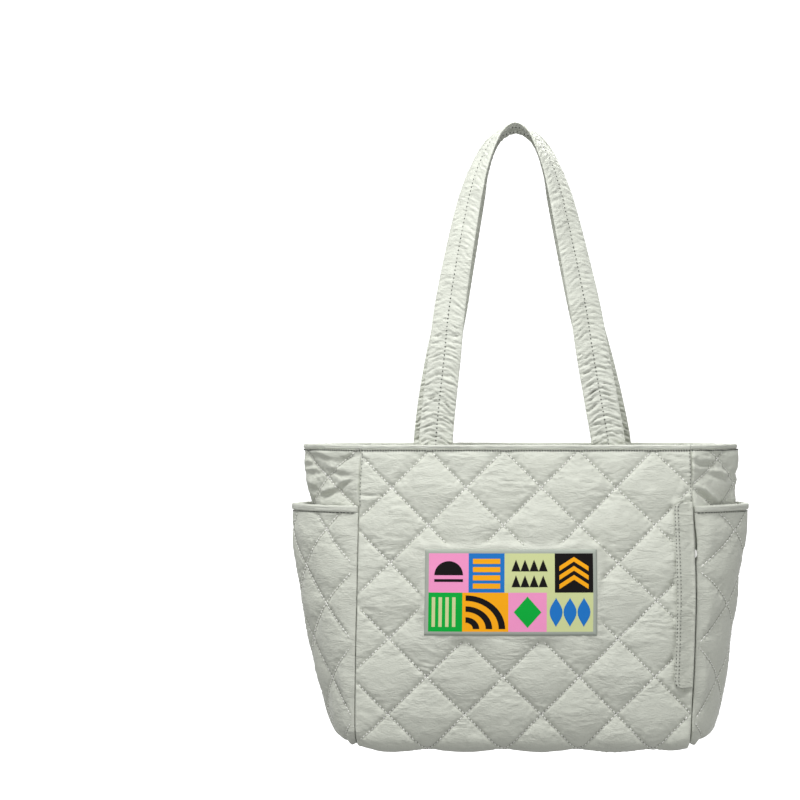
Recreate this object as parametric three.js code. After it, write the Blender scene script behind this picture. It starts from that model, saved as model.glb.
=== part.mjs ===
// A quilted travel tote with two shoulder handles, two side pockets and a covered zip pocket in
// the right-hand seam of the front. The body is a padded panel at the front and one at the back,
// both folded under the base, closed by two side gussets that belly outwards. All walls are real
// cloth walls with the bag hollow between them, and each sewn piece is its own solid.
// Millimetres, +Z up. The front faces -Y. The origin is where the bag hangs: under the crown of
// the two handles.
import * as THREE from "three";

// Sizes of the body
const bodyHeight = 306.5; // top of the rim hem to the fold line under the base
const panelWidth = 340; // front panel, seam to seam
const baseDepth = 150; // front to back along the base
const wrapRadius = 24; // how roundly the panels fold under the base
const panelBow = 9; // how far the middle of a panel stands forward of its seams
const gussetWidth = 178; // cut width of a side gusset, front seam to back seam
const sideBulge = 74; // how far the fullest gusset could belly out past the seams

// Cloth
const wallInner = 2.6; // padded cloth behind the seam line
const panelProud = 1.2; // cloth in front of the seam line, along the stitching
const padRise = 4.6; // height of a quilted diamond above its stitching
const gussetRise = 3.2; // the same on the gussets, which are pulled flatter
const sewnGap = 0.5; // clearance kept between two sewn pieces
const baseBorder = 12; // width of the base panel's sloping edge

// Quilting
const pitchAcross = 76; // diagonal of a diamond, along the rim
const pitchDown = 75.3; // diagonal of a diamond, down the wall
const quiltRow = 43; // first full row of crossings below the rim
const frontColumn = 14; // a column of crossings, from the middle of the front panel
const backColumn = -24; // the same on the back panel, seen from behind
const stopsPerDiamond = 4; // mesh lines across a diamond
const plainStep = 16; // mesh lines where there is no quilting
const probe = 0.5; // the slope of a surface is measured over this distance to each side

// Hems
const hemHeight = 5;
const hemInside = 4.2; // how far a hem stands in from the seam line
const hemOutside = 2.4; // how far it stands out

// Side pockets
const pocketHeight = 245; // fold line under the base to the top of the pocket hem
const pocketHem = 7;
const pocketWall = 2.4;
const pocketHollow = 20; // widest room between a pocket and its gusset
const pocketInset = 1.6; // how far beside the seam a pocket's edge lies

// Handles
const handleRise = 327.5; // rim to the underside of the crown
const handleWidth = 33.6;
const handleThickness = 4.8;
const frontSpread = 176; // between the middles of the two ends
const backSpread = 198;
const endDepth = 24; // how far a handle's ends reach down inside the mouth
const endOffset = -3.5; // the ends sit this far to the left of the body's middle
const crownOffset = -10.5; // and the crown hangs this far to the left
const gatherPitch = 19; // from one gather of the ruched cloth to the next
const gatherDepth = 0.16; // share of the thickness that a gather adds and takes
const gatherSlant = 4; // how far a gather falls from the middle stitching to its side

// Zip pocket cover on the right-hand edge of the front panel
const coverTop = 58; // below the rim
const coverLength = 185;
const coverWidth = 20;
const coverThickness = 2.2;
const coverCorner = 5;
const coverSeam = 4; // width of its sewn-down edge
const zipThickness = 1.2; // at the coil
const tapeThickness = 0.72;
const zipWidth = 7;
const pullLength = 9;
const pullWidth = 7;
const pullDrop = 47; // below the top of the cover
const pullShows = 2.4; // how far the pull stands out past the cover's edge

// Printed patch on the front
const patchWidth = 172;
const patchHeight = 85;
const patchTop = 105; // below the rim
const patchMiddle = -15; // from the middle of the panel
const patchThickness = 1.2;

// The body from the base (height 0) to the rim (height 1). left and right are shares of half the
// panel width, depth is a share of the base depth, bow a share of the panel bow.
const bodySections = [
  { height: 0.0, left: 1.0, right: 0.972, depth: 1.0, bow: 0.0 },
  { height: 0.09, left: 1.004, right: 0.977, depth: 1.0, bow: 0.35 },
  { height: 0.22, left: 1.003, right: 0.988, depth: 0.985, bow: 0.8 },
  { height: 0.36, left: 1.0, right: 0.999, depth: 0.95, bow: 1.0 },
  { height: 0.52, left: 0.995, right: 1.007, depth: 0.9, bow: 1.0 },
  { height: 0.66, left: 0.992, right: 1.003, depth: 0.84, bow: 0.9 },
  { height: 0.82, left: 0.989, right: 0.994, depth: 0.77, bow: 0.6 },
  { height: 1.0, left: 0.98, right: 0.985, depth: 0.7, bow: 0.3 },
];

// How far each gusset bellies out, as a share of the side bulge, and how far each pocket stands
// off its gusset, as a share of the pocket hollow.
const sideSections = [
  { height: 0.0, left: 0.0, right: 0.0, roomLeft: 0.0, roomRight: 0.0 },
  { height: 0.02, left: 0.17, right: 0.2, roomLeft: 0.1, roomRight: 0.1 },
  { height: 0.05, left: 0.29, right: 0.32, roomLeft: 0.25, roomRight: 0.2 },
  { height: 0.125, left: 0.39, right: 0.37, roomLeft: 0.35, roomRight: 0.35 },
  { height: 0.25, left: 0.47, right: 0.36, roomLeft: 0.58, roomRight: 0.52 },
  { height: 0.365, left: 0.5, right: 0.35, roomLeft: 0.85, roomRight: 0.68 },
  { height: 0.5, left: 0.52, right: 0.345, roomLeft: 1.06, roomRight: 0.93 },
  { height: 0.66, left: 0.62, right: 0.44, roomLeft: 1.1, roomRight: 1.0 },
  { height: 0.82, left: 0.78, right: 0.665, roomLeft: 0.86, roomRight: 0.6 },
  { height: 1.0, left: 0.88, right: 0.72, roomLeft: 0.8, roomRight: 0.5 },
];
const gussetPoint = 1.45; // 1 is a gusset folded to a sharp ridge, 2 a round one
const pocketFullness = 2.2; // the same for the room in a pocket

// Creases pressed into the gussets above the pockets. height is a share of the body height,
// place and reach are shares of the gusset width, width of the body height, and depth of the
// height of a diamond on the gusset.
const sideCreases = [
  { height: 0.93, place: 0.25, reach: 0.3, width: 0.02, depth: -0.7 },
  { height: 0.87, place: 0.2, reach: 0.26, width: 0.018, depth: -0.9 },
  { height: 0.845, place: 0.72, reach: 0.3, width: 0.02, depth: -0.8 },
];

// A handle from its end (rise 0) to its crown (rise 1). front and back say how far each handle's
// legs stand apart, as a share of half its spread, and turn is how far the band has turned from
// facing forward to facing outward.
const handleSections = [
  { rise: 0.0, front: 1.0, back: 1.0, turn: 0 },
  { rise: 0.12, front: 0.945, back: 0.94, turn: 4 },
  { rise: 0.265, front: 0.867, back: 0.84, turn: 11 },
  { rise: 0.414, front: 0.795, back: 0.722, turn: 20 },
  { rise: 0.563, front: 0.696, back: 0.617, turn: 30 },
  { rise: 0.714, front: 0.582, back: 0.511, turn: 40 },
  { rise: 0.79, front: 0.516, back: 0.453, turn: 47 },
  { rise: 0.866, front: 0.428, back: 0.381, turn: 57 },
  { rise: 0.943, front: 0.286, back: 0.26, turn: 70 },
  { rise: 0.982, front: 0.17, back: 0.155, turn: 80 },
  { rise: 1.0, front: 0.0, back: 0.0, turn: 90 },
];
// The band's section: across is a share of half its width, thick a share of half its thickness.
const bandSection = [
  { across: 1.0, thick: 0.45 },
  { across: 0.55, thick: 1.0 },
  { across: 0.0, thick: 0.5 },
  { across: -0.55, thick: 1.0 },
  { across: -1.0, thick: 0.45 },
];
// A hem's rolled section: out runs from the inner side (0) to the outer one (1), up from the
// bottom (0) to the top (1).
const hemSection = [
  { out: 0.12, up: 0.0 },
  { out: 0.0, up: 0.35 },
  { out: 0.14, up: 0.85 },
  { out: 0.36, up: 1.0 },
  { out: 0.68, up: 1.0 },
  { out: 0.92, up: 0.8 },
  { out: 1.0, up: 0.35 },
  { out: 0.86, up: 0.0 },
];

const halfPanel = panelWidth / 2;
const wrapStart = bodyHeight - wrapRadius;
const wrapEnd = wrapStart + (wrapRadius * Math.PI) / 2;
const wallTop = hemHeight + sewnGap;
const pocketTop = bodyHeight - pocketHeight;
const crownHeight = handleRise + handleThickness / 2;
const mitreReach = 2.2; // a corner seam's mitre is never longer than this share of the wall
const seamShare = 0.985; // beyond this share of its half width a gusset keeps its slope

// Reads a column of a table at a place in its first column, with a smooth curve that never
// overshoots the rows.
function read(table, key, column, at) {
  const last = table.length - 1;
  const x = Math.min(Math.max(at, table[0][key]), table[last][key]);
  let i = 0;
  while (i < last - 1 && x > table[i + 1][key]) i += 1;
  const slope = (j) => (table[j + 1][column] - table[j][column]) / (table[j + 1][key] - table[j][key]);
  const tangent = (j) => {
    if (j === 0) return slope(0);
    if (j === last) return slope(last - 1);
    const before = slope(j - 1);
    const after = slope(j);
    return before * after <= 0 ? 0 : (2 * before * after) / (before + after);
  };
  const step = table[i + 1][key] - table[i][key];
  const t = (x - table[i][key]) / step;
  const a = table[i][column];
  const b = table[i + 1][column];
  const rise = t * t * (3 - 2 * t);
  return (
    a + (b - a) * rise +
    step * (t * (1 - t) * (1 - t) * tangent(i) - t * t * (1 - t) * tangent(i + 1))
  );
}

// The cloth is measured down from the rim: down is the length along the wall, round the fold and
// in under the base.
function level(down) {
  if (down <= wrapStart) {
    const height = 1 - down / bodyHeight;
    return { z: -down, height, half: (baseDepth / 2) * read(bodySections, "height", "depth", height) };
  }
  const turn = Math.min((down - wrapStart) / wrapRadius, Math.PI / 2);
  const z = -(wrapStart + wrapRadius * Math.sin(turn));
  return { z, height: 1 + z / bodyHeight, half: baseDepth / 2 - wrapRadius * (1 - Math.cos(turn)) };
}

// Half the depth between the front and back seams, at a level of the gusset.
function halfDepth(z) {
  const below = -z - wrapStart;
  if (below <= 0) return (baseDepth / 2) * read(bodySections, "height", "depth", 1 + z / bodyHeight);
  const drop = Math.min(below, wrapRadius);
  return baseDepth / 2 - wrapRadius + Math.sqrt(Math.max(wrapRadius * wrapRadius - drop * drop, 0));
}

function halfWidth(side, height) {
  return halfPanel * read(bodySections, "height", side < 0 ? "left" : "right", height);
}

// A point on the seam surface of the front (face -1) or back (face 1) panel. across runs from
// -halfPanel to halfPanel.
function panelSurface(face, across, down) {
  const at = level(down);
  const share = across / halfPanel;
  const bow = panelBow * read(bodySections, "height", "bow", at.height) * (1 - share * share);
  return new THREE.Vector3(share * halfWidth(across, at.height), face * (at.half + bow), at.z);
}

function panelNormal(face, across, down) {
  const a = Math.min(Math.max(across, probe - halfPanel), halfPanel - probe);
  const b = Math.min(Math.max(down, probe), wrapEnd - probe);
  const alongX = panelSurface(face, a + probe, b).sub(panelSurface(face, a - probe, b));
  const alongDown = panelSurface(face, a, b + probe).sub(panelSurface(face, a, b - probe));
  return alongX.cross(alongDown).multiplyScalar(face).normalize();
}

// How far a gusset's seam surface stands out from the middle, over a point of the side.
function gussetReach(side, y, z) {
  const height = 1 + z / bodyHeight;
  const along = Math.min(Math.abs(y) / halfDepth(z), 1);
  const bulge = sideBulge * read(sideSections, "height", side < 0 ? "left" : "right", height);
  return halfWidth(side, height) + bulge * (1 - Math.pow(along, gussetPoint));
}

// across runs from the front seam (0) to the back seam (gussetWidth).
function gussetSurface(side, across, down) {
  const at = level(down);
  const y = at.half * (2 * (across / gussetWidth) - 1);
  return new THREE.Vector3(side * gussetReach(side, y, at.z), y, at.z);
}

function gussetNormal(side, across, down) {
  const z = Math.min(Math.max(level(down).z, 2 * probe - bodyHeight), -probe);
  const share = Math.min(Math.max(2 * (across / gussetWidth) - 1, -seamShare), seamShare);
  const y = share * halfDepth(z);
  const slopeY = (gussetReach(side, y + probe, z) - gussetReach(side, y - probe, z)) / (2 * probe);
  const slopeZ = (gussetReach(side, y, z + probe) - gussetReach(side, y, z - probe)) / (2 * probe);
  return new THREE.Vector3(side, -slopeY, -slopeZ).normalize();
}

// The outward direction shared by two walls that meet at a seam, longer the sharper they meet.
function mitre(a, b) {
  const sum = a.clone().add(b).divideScalar(1 + a.dot(b));
  return sum.length() > mitreReach ? sum.setLength(mitreReach) : sum;
}

const baseNormal = new THREE.Vector3(0, 0, -1);

function panelOutward(face, across, down) {
  const normal = panelNormal(face, across, down);
  if (Math.abs(across) < halfPanel - sewnGap) return normal;
  return mitre(normal, gussetNormal(Math.sign(across), face < 0 ? 0 : gussetWidth, down));
}

function gussetOutward(side, across, down) {
  const normal = gussetNormal(side, across, down);
  if (down > wrapEnd - sewnGap) return mitre(normal, baseNormal);
  if (across < sewnGap) return mitre(normal, panelNormal(-1, side * halfPanel, down));
  if (across > gussetWidth - sewnGap) return mitre(normal, panelNormal(1, side * halfPanel, down));
  return normal;
}

// Quilting: 0 on the diagonal lines of stitches, 1 in the middle of a diamond.
function puff(across, down, column) {
  const a = (across - column) / pitchAcross;
  const b = (down - quiltRow) / pitchDown;
  const lines = Math.abs(Math.sin(Math.PI * (a + b)) * Math.sin(Math.PI * (a - b)));
  return Math.sqrt(lines);
}

function within(value, low, high) {
  return value >= low && value <= high;
}

const patchLeft = patchMiddle - patchWidth / 2;
const patchSeat = pitchAcross / stopsPerDiamond / 2;

// The front's quilting is pressed flat under the zip cover and full under the patch.
function frontRelief(across, down) {
  const underCover =
    across >= halfPanel - coverWidth - sewnGap &&
    within(down, coverTop - sewnGap, coverTop + coverLength + sewnGap);
  if (underCover) return 0;
  const underPatch =
    within(across, patchLeft - patchSeat, patchLeft + patchWidth + patchSeat) &&
    within(down, patchTop - patchSeat, patchTop + patchHeight + patchSeat);
  return underPatch ? 1 : puff(across, down, frontColumn);
}

function crease(across, down) {
  const height = 1 - down / bodyHeight;
  return sideCreases.reduce((sum, fold) => {
    const sideways = (across / gussetWidth - fold.place) / fold.reach;
    const upward = (height - fold.height) / fold.width;
    return sum + fold.depth * Math.exp(-sideways * sideways - upward * upward);
  }, 0);
}

// The gussets are quilted and creased where they show, and plain behind the pockets.
function gussetRelief(across, down) {
  if (down > pocketTop - pocketHem) return 0;
  return Math.max(puff(across, down, 0) + crease(across, down), 0);
}

// Mesh lines through the quilting between two ends, with any that are asked for besides.
const closest = 0.25; // lines nearer to each other than this share of their step are joined
function stops(from, to, column, pitch, extra = []) {
  const step = pitch / stopsPerDiamond;
  const found = [from, to, ...extra];
  for (let k = Math.ceil((from - column) / step); column + k * step < to; k += 1) {
    const at = column + k * step;
    if (found.every((other) => Math.abs(other - at) > step * closest)) found.push(at);
  }
  return found.sort((a, b) => a - b);
}

function evenStops(from, to, step) {
  const count = Math.max(1, Math.round((to - from) / step));
  return Array.from({ length: count + 1 }, (_, i) => from + ((to - from) * i) / count);
}

// One closed solid between an outer and an inner surface over a grid. Each cell is split along
// the diagonal that lies closer to the true surface, so that the stitching stays straight.
function sheetGeometry(columns, rows, outer, inner) {
  const points = [];
  const faces = [];
  const wide = columns.length;
  const skin = wide * rows.length;
  for (const surface of [outer, inner]) {
    for (const down of rows) {
      for (const across of columns) points.push(surface(across, down));
    }
  }
  for (let j = 0; j < rows.length - 1; j += 1) {
    for (let i = 0; i < wide - 1; i += 1) {
      const a = j * wide + i;
      const [b, c, d] = [a + 1, a + wide + 1, a + wide];
      const middle = outer((columns[i] + columns[i + 1]) / 2, (rows[j] + rows[j + 1]) / 2);
      const miss = (p, q) => points[p].clone().add(points[q]).multiplyScalar(0.5).distanceTo(middle);
      const halves = miss(a, c) <= miss(b, d) ? [[a, b, c], [a, c, d]] : [[a, b, d], [b, c, d]];
      for (const [p, q, r] of halves) faces.push([p, r, q], [p + skin, q + skin, r + skin]);
    }
  }
  const lastRow = (rows.length - 1) * wide;
  const edge = [];
  for (let i = 0; i < wide - 1; i += 1) edge.push([i, i + 1], [lastRow + i + 1, lastRow + i]);
  for (let j = 0; j < rows.length - 1; j += 1) {
    edge.push([(j + 1) * wide, j * wide], [(j + 1) * wide - 1, (j + 2) * wide - 1]);
  }
  for (const [p, q] of edge) faces.push([p, q, q + skin], [p, q + skin, p + skin]);
  return solidGeometry(points, faces);
}

// One closed solid through rings of points, with its two ends closed.
function loftGeometry(rings) {
  const size = rings[0].length;
  const points = rings.flat();
  const faces = [];
  for (let j = 0; j < rings.length - 1; j += 1) {
    for (let i = 0; i < size; i += 1) {
      const a = j * size + i;
      const b = j * size + ((i + 1) % size);
      faces.push([a, b, b + size], [a, b + size, a + size]);
    }
  }
  for (const [start, flip] of [[0, true], [(rings.length - 1) * size, false]]) {
    const middle = new THREE.Vector3();
    for (let i = 0; i < size; i += 1) middle.add(points[start + i]);
    points.push(middle.divideScalar(size));
    for (let i = 0; i < size; i += 1) {
      const [a, b] = [start + i, start + ((i + 1) % size)];
      faces.push(flip ? [points.length - 1, b, a] : [points.length - 1, a, b]);
    }
  }
  return solidGeometry(points, faces);
}

// Turns points and triangles into a geometry whose faces point outwards.
function solidGeometry(points, faces) {
  let volume = 0;
  for (const [a, b, c] of faces) volume += points[a].dot(points[b].clone().cross(points[c]));
  const index = faces.flatMap(([a, b, c]) => (volume < 0 ? [a, c, b] : [a, b, c]));
  const geometry = new THREE.BufferGeometry().setFromPoints(points);
  geometry.setIndex(index);
  geometry.computeVertexNormals();
  return geometry;
}

const quiltedNylon = { color: 0xc3c8bc, roughness: 0.72, metalness: 0 };
const smoothNylon = { color: 0xc6cbbf, roughness: 0.7, metalness: 0 };
const printedPatch = { color: 0xf19fc8, roughness: 0.6, metalness: 0 };
const zipTape = { color: 0x8f948a, roughness: 0.8, metalness: 0 };
const whiteEnamel = { color: 0xf4f4f0, roughness: 0.25, metalness: 0 };

function piece(name, geometry, look) {
  const mesh = new THREE.Mesh(geometry, new THREE.MeshStandardMaterial(look));
  mesh.name = name;
  return mesh;
}

function panel(name, face, relief, extraColumns, extraRows) {
  const edge = halfPanel - sewnGap / 2;
  const column = face < 0 ? frontColumn : -backColumn;
  const columns = stops(-edge, edge, column, pitchAcross, extraColumns);
  const rows = stops(wallTop, wrapEnd - sewnGap / 2, quiltRow, pitchDown, [wrapStart, ...extraRows]);
  const skin = (rise) => (across, down) =>
    panelSurface(face, across, down).addScaledVector(panelOutward(face, across, down), rise(across, down));
  const onEdge = (across, down) =>
    Math.abs(across) > edge - sewnGap || down < wallTop + sewnGap || down > wrapEnd - sewnGap;
  const outer = skin((across, down) => panelProud + (onEdge(across, down) ? 0 : padRise * relief(across, down)));
  return piece(name, sheetGeometry(columns, rows, outer, skin(() => -wallInner)), quiltedNylon);
}

function frontPanel() {
  const coverEdge = halfPanel - coverWidth - sewnGap;
  const coverEnds = [coverTop - sewnGap, coverTop + coverLength + sewnGap];
  return panel("front_panel", -1, frontRelief, [coverEdge], coverEnds);
}

function backPanel() {
  return panel("back_panel", 1, (across, down) => puff(-across, down, backColumn), [], []);
}

const gussetStops = () => stops(sewnGap / 2, gussetWidth - sewnGap / 2, 0, pitchAcross);

function gusset(name, side) {
  const columns = gussetStops();
  const extraRows = [pocketTop - pocketHem, wrapStart];
  const rows = stops(wallTop, wrapEnd - sewnGap / 2, quiltRow, pitchDown, extraRows);
  const onEdge = (across) => across < sewnGap || across > gussetWidth - sewnGap;
  const skin = (rise) => (across, down) =>
    gussetSurface(side, across, down).addScaledVector(gussetOutward(side, across, down), rise(across, down));
  const outer = skin((across, down) =>
    onEdge(across) || down <= wallTop ? 0 : gussetRise * gussetRelief(across, down));
  return piece(name, sheetGeometry(columns, rows, outer, skin(() => -wallInner)), quiltedNylon);
}

// The padded panel that closes the base between the two folds, with a flat underside.
function basePanel() {
  const edge = halfPanel - sewnGap;
  const reach = baseDepth / 2 - wrapRadius - sewnGap / 2;
  const columns = [-edge, baseBorder - edge, 0, edge - baseBorder, edge];
  const rows = gussetStops().map((at) => reach * ((2 * at) / gussetWidth - 1));
  const onSide = (across) => Math.abs(across) > edge - sewnGap;
  const onEdge = (across, y) => onSide(across) || Math.abs(y) > reach - sewnGap;
  const surface = (across, y) =>
    new THREE.Vector3((across / halfPanel) * halfWidth(across, 0), y, -bodyHeight);
  const outward = (across, y) => {
    if (!onSide(across)) return baseNormal;
    const at = (gussetWidth / 2) * (1 + y / reach);
    return mitre(baseNormal, gussetNormal(Math.sign(across), at, wrapEnd));
  };
  const rise = (across, y) => (onEdge(across, y) ? 0 : panelProud + padRise);
  const outer = (across, y) => surface(across, y).addScaledVector(outward(across, y), rise(across, y));
  const inner = (across, y) => surface(across, y).addScaledVector(outward(across, y), -wallInner);
  return piece("base_panel", sheetGeometry(columns, rows, outer, inner), quiltedNylon);
}

// A rolled hem along a top edge. place gives the seam surface and outward its direction.
function hem(name, along, place, outward, inside, outside, height) {
  const rings = along.map((at) => {
    const foot = place(at);
    const out = outward(at);
    out.setZ(0);
    return hemSection.map(({ out: share, up }) =>
      foot.clone().addScaledVector(out, share * (inside + outside) - inside).setZ(foot.z + up * height));
  });
  return piece(name, loftGeometry(rings), smoothNylon);
}

function rimHem(name, along, surface, outward) {
  const foot = (at) => surface(at).setZ(-hemHeight);
  return hem(name, along, foot, outward, hemInside, hemOutside, hemHeight);
}

function panelHem(name, face) {
  const edge = halfPanel - sewnGap / 2;
  const along = stops(-edge, edge, 0, pitchAcross);
  return rimHem(name, along, (at) => panelSurface(face, at, 0), (at) => panelOutward(face, at, 0));
}

function gussetHem(name, side) {
  return rimHem(name, gussetStops(), (at) => gussetSurface(side, at, 0), (at) => gussetOutward(side, at, 0));
}

// The inside of a side pocket: a little off its gusset at the seams and the base, and standing
// away from it in between.
function pocketInside(side, across, down) {
  const at = level(down);
  const share = Math.abs(2 * (across / gussetWidth) - 1);
  const room = pocketHollow * read(sideSections, "height", side < 0 ? "roomLeft" : "roomRight", at.height);
  const off = room * (1 - Math.pow(share, pocketFullness));
  return gussetSurface(side, across, down)
    .addScaledVector(gussetNormal(side, across, down), sewnGap)
    .add(new THREE.Vector3(side * off, 0, 0));
}

const pocketEdges = [pocketInset, gussetWidth - pocketInset];
const pocketFoot = wrapEnd - pocketInset;

function sidePocket(name, side) {
  const top = pocketTop + pocketHem + sewnGap;
  const columns = stops(...pocketEdges, 0, pitchAcross);
  const rows = stops(top, pocketFoot, quiltRow, pitchDown);
  const onEdge = (across, down) =>
    across <= pocketEdges[0] || across >= pocketEdges[1] || down <= top || down >= pocketFoot;
  const inner = (across, down) => pocketInside(side, across, down);
  const outer = (across, down) => {
    const quilting = onEdge(across, down) ? 0 : padRise * puff(across, down, 0);
    return inner(across, down).addScaledVector(gussetNormal(side, across, down), pocketWall + quilting);
  };
  return piece(name, sheetGeometry(columns, rows, outer, inner), quiltedNylon);
}

function pocketHemPiece(name, side) {
  const along = stops(...pocketEdges, 0, pitchAcross);
  const down = pocketTop + pocketHem;
  const place = (at) => pocketInside(side, at, down);
  const outward = (at) => gussetNormal(side, at, down);
  return hem(name, along, place, outward, 0, pocketWall + hemOutside, pocketHem);
}

// The middle line of a handle from its left end over the crown to its right end.
function handleCurve(face, spread) {
  const reach = (handleThickness / 2) * (1 + gatherDepth) + sewnGap;
  const wallY = (down, inside) =>
    panelSurface(face, spread / 2, down).y - face * (inside + reach);
  const footY = wallY(0, hemInside);
  const crownY = face * (handleWidth / 2 + sewnGap);
  const side = face < 0 ? "front" : "back";
  const leg = (hand) => ({ rise, [side]: out }) => new THREE.Vector3(
    hand * out * (spread / 2) + endOffset + (crownOffset - endOffset) * rise * (2 - rise),
    footY + (crownY - footY) * rise,
    crownHeight * rise,
  );
  const end = (hand) => [
    new THREE.Vector3((hand * spread) / 2 + endOffset, wallY(endDepth, wallInner), -endDepth),
    new THREE.Vector3((hand * spread) / 2 + endOffset, footY, -2 * hemHeight),
  ];
  const left = [...end(-1), ...handleSections.map(leg(-1))];
  const right = [...end(1), ...handleSections.map(leg(1))].reverse().slice(1);
  return new THREE.CatmullRomCurve3([...left, ...right], false, "centripetal");
}

// The ruched band of a handle: it faces forward at its ends and turns to lie flat at the crown.
function handle(name, face, spread) {
  const curve = handleCurve(face, spread);
  const steps = 2 * Math.round(curve.getLength() / gatherPitch);
  const forward = new THREE.Vector3(0, face, 0);
  const rings = [];
  for (let i = 0; i <= steps; i += 1) {
    const at = curve.getPointAt(i / steps);
    const along = curve.getTangentAt(i / steps);
    const outward = new THREE.Vector3(0, 1, 0).cross(along).negate();
    outward.setY(0).normalize();
    if (i === 0 || i === steps) along.set(0, 0, i === 0 ? 1 : -1);
    if (i === 0 || i === steps) outward.set(i === 0 ? -1 : 1, 0, 0);
    const turn = THREE.MathUtils.degToRad(read(handleSections, "rise", "turn", at.z / crownHeight));
    const facing = forward.clone().multiplyScalar(Math.cos(turn)).addScaledVector(outward, Math.sin(turn));
    facing.addScaledVector(along, -facing.dot(along)).normalize();
    const sideways = facing.clone().cross(along).normalize();
    const swell = 1 + (i % 2 ? gatherDepth : -gatherDepth);
    const fall = i === 0 || i === steps ? 0 : gatherSlant * (i < steps / 2 ? -1 : 1);
    const point = (hand) => ({ across, thick }) => at.clone()
      .addScaledVector(sideways, (across * handleWidth) / 2)
      .addScaledVector(facing, (hand * thick * swell * handleThickness) / 2)
      .addScaledVector(along, fall * Math.abs(across) * Math.sin((Math.PI * i) / steps));
    rings.push([...bandSection.map(point(1)), ...[...bandSection].reverse().map(point(-1))]);
  }
  return piece(name, loftGeometry(rings), smoothNylon);
}

const frontPoint = (across, down, rise) =>
  panelSurface(-1, across, down).addScaledVector(panelNormal(-1, across, down), rise);

const coverLeft = halfPanel - coverWidth;
const coverRight = halfPanel - sewnGap;
const zipRise = panelProud + sewnGap;
const flapRise = zipRise + zipThickness + sewnGap;
const zipRight = coverRight - pullWidth + pullShows;

// The cover over the zip: sewn down along its left side, free along the seam, its left corners cut.
function zipCover() {
  const foldLine = Math.min(coverLeft + 2 * coverSeam, coverRight - sewnGap);
  const columns = [coverLeft, coverLeft + coverSeam, foldLine, coverRight];
  const bottom = coverTop + coverLength;
  const rows = [coverTop, ...evenStops(coverTop + coverCorner, bottom - coverCorner, plainStep), bottom];
  const place = (across, down) => {
    const cut = down <= coverTop || down >= bottom ? coverCorner : 0;
    return across + (cut * (coverRight - across)) / coverWidth;
  };
  const under = (across) => (across < foldLine ? zipRise : flapRise);
  const inner = (across, down) => frontPoint(place(across, down), down, under(across));
  const outer = (across, down) => frontPoint(place(across, down), down, under(across) + coverThickness);
  return piece("zip_cover", sheetGeometry(columns, rows, outer, inner), smoothNylon);
}

// The zip's tape and coil, closed, under the free side of the cover.
function pocketZip() {
  const columns = [zipRight - zipWidth, zipRight - zipWidth / 3, zipRight - sewnGap];
  const rows = evenStops(coverTop + coverCorner, coverTop + coverLength - coverCorner, plainStep);
  const inner = (across, down) => frontPoint(across, down, zipRise);
  const outer = (across, down) =>
    frontPoint(across, down, zipRise + (across < columns[1] ? tapeThickness : zipThickness));
  return piece("pocket_zip", sheetGeometry(columns, rows, outer, inner), zipTape);
}

// The zip's pull, lying flat under the cover with its side showing at the seam.
function zipPull() {
  const top = coverTop + pullDrop;
  const shape = new THREE.Shape();
  const corner = pullWidth / 4;
  shape.moveTo(corner, 0);
  shape.lineTo(pullWidth - corner, 0);
  shape.absarc(pullWidth - corner, corner, corner, -Math.PI / 2, 0, false);
  shape.lineTo(pullWidth, pullLength - corner);
  shape.absarc(pullWidth - corner, pullLength - corner, corner, 0, Math.PI / 2, false);
  shape.lineTo(corner, pullLength);
  shape.absarc(corner, pullLength - corner, corner, Math.PI / 2, Math.PI, false);
  shape.lineTo(0, corner);
  shape.absarc(corner, corner, corner, Math.PI, 1.5 * Math.PI, false);
  const geometry = new THREE.ExtrudeGeometry(shape, { depth: zipThickness, bevelEnabled: false, curveSegments: 4 });
  const middle = top + pullLength / 2;
  const across = zipRight + pullWidth / 2;
  const down = panelSurface(-1, halfPanel, middle - 1).sub(panelSurface(-1, halfPanel, middle + 1)).normalize();
  const facing = panelNormal(-1, halfPanel, middle);
  const rightward = down.clone().cross(facing).normalize();
  const seat = panelSurface(-1, halfPanel, middle)
    .addScaledVector(rightward, across - halfPanel)
    .addScaledVector(facing, zipRise);
  geometry.translate(-pullWidth / 2, -pullLength / 2, 0);
  geometry.applyMatrix4(new THREE.Matrix4().makeBasis(rightward, down, facing).setPosition(seat));
  return piece("zip_pull", geometry, whiteEnamel);
}

// The printed patch, laid over the crowns of the quilting.
function frontPatch() {
  const columns = evenStops(patchLeft, patchLeft + patchWidth, plainStep);
  const rows = evenStops(patchTop, patchTop + patchHeight, plainStep);
  const seat = panelProud + padRise + sewnGap;
  const inner = (across, down) => frontPoint(across, down, seat);
  const outer = (across, down) => frontPoint(across, down, seat + patchThickness);
  return piece("printed_patch", sheetGeometry(columns, rows, outer, inner), printedPatch);
}

const tote = new THREE.Group();
const bag = new THREE.Group();
bag.position.set(-crownOffset, 0, -handleRise);
tote.add(bag);
bag.add(
  frontPanel(),
  backPanel(),
  gusset("gusset_left", -1),
  gusset("gusset_right", 1),
  basePanel(),
  panelHem("rim_hem_front", -1),
  panelHem("rim_hem_back", 1),
  gussetHem("rim_hem_left", -1),
  gussetHem("rim_hem_right", 1),
  sidePocket("side_pocket_left", -1),
  sidePocket("side_pocket_right", 1),
  pocketHemPiece("pocket_hem_left", -1),
  pocketHemPiece("pocket_hem_right", 1),
  handle("handle_front", -1, frontSpread),
  handle("handle_back", 1, backSpread),
  zipCover(),
  pocketZip(),
  zipPull(),
  frontPatch(),
);

export default tote;
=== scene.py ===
import math
from collections import namedtuple
from functools import partial

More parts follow.
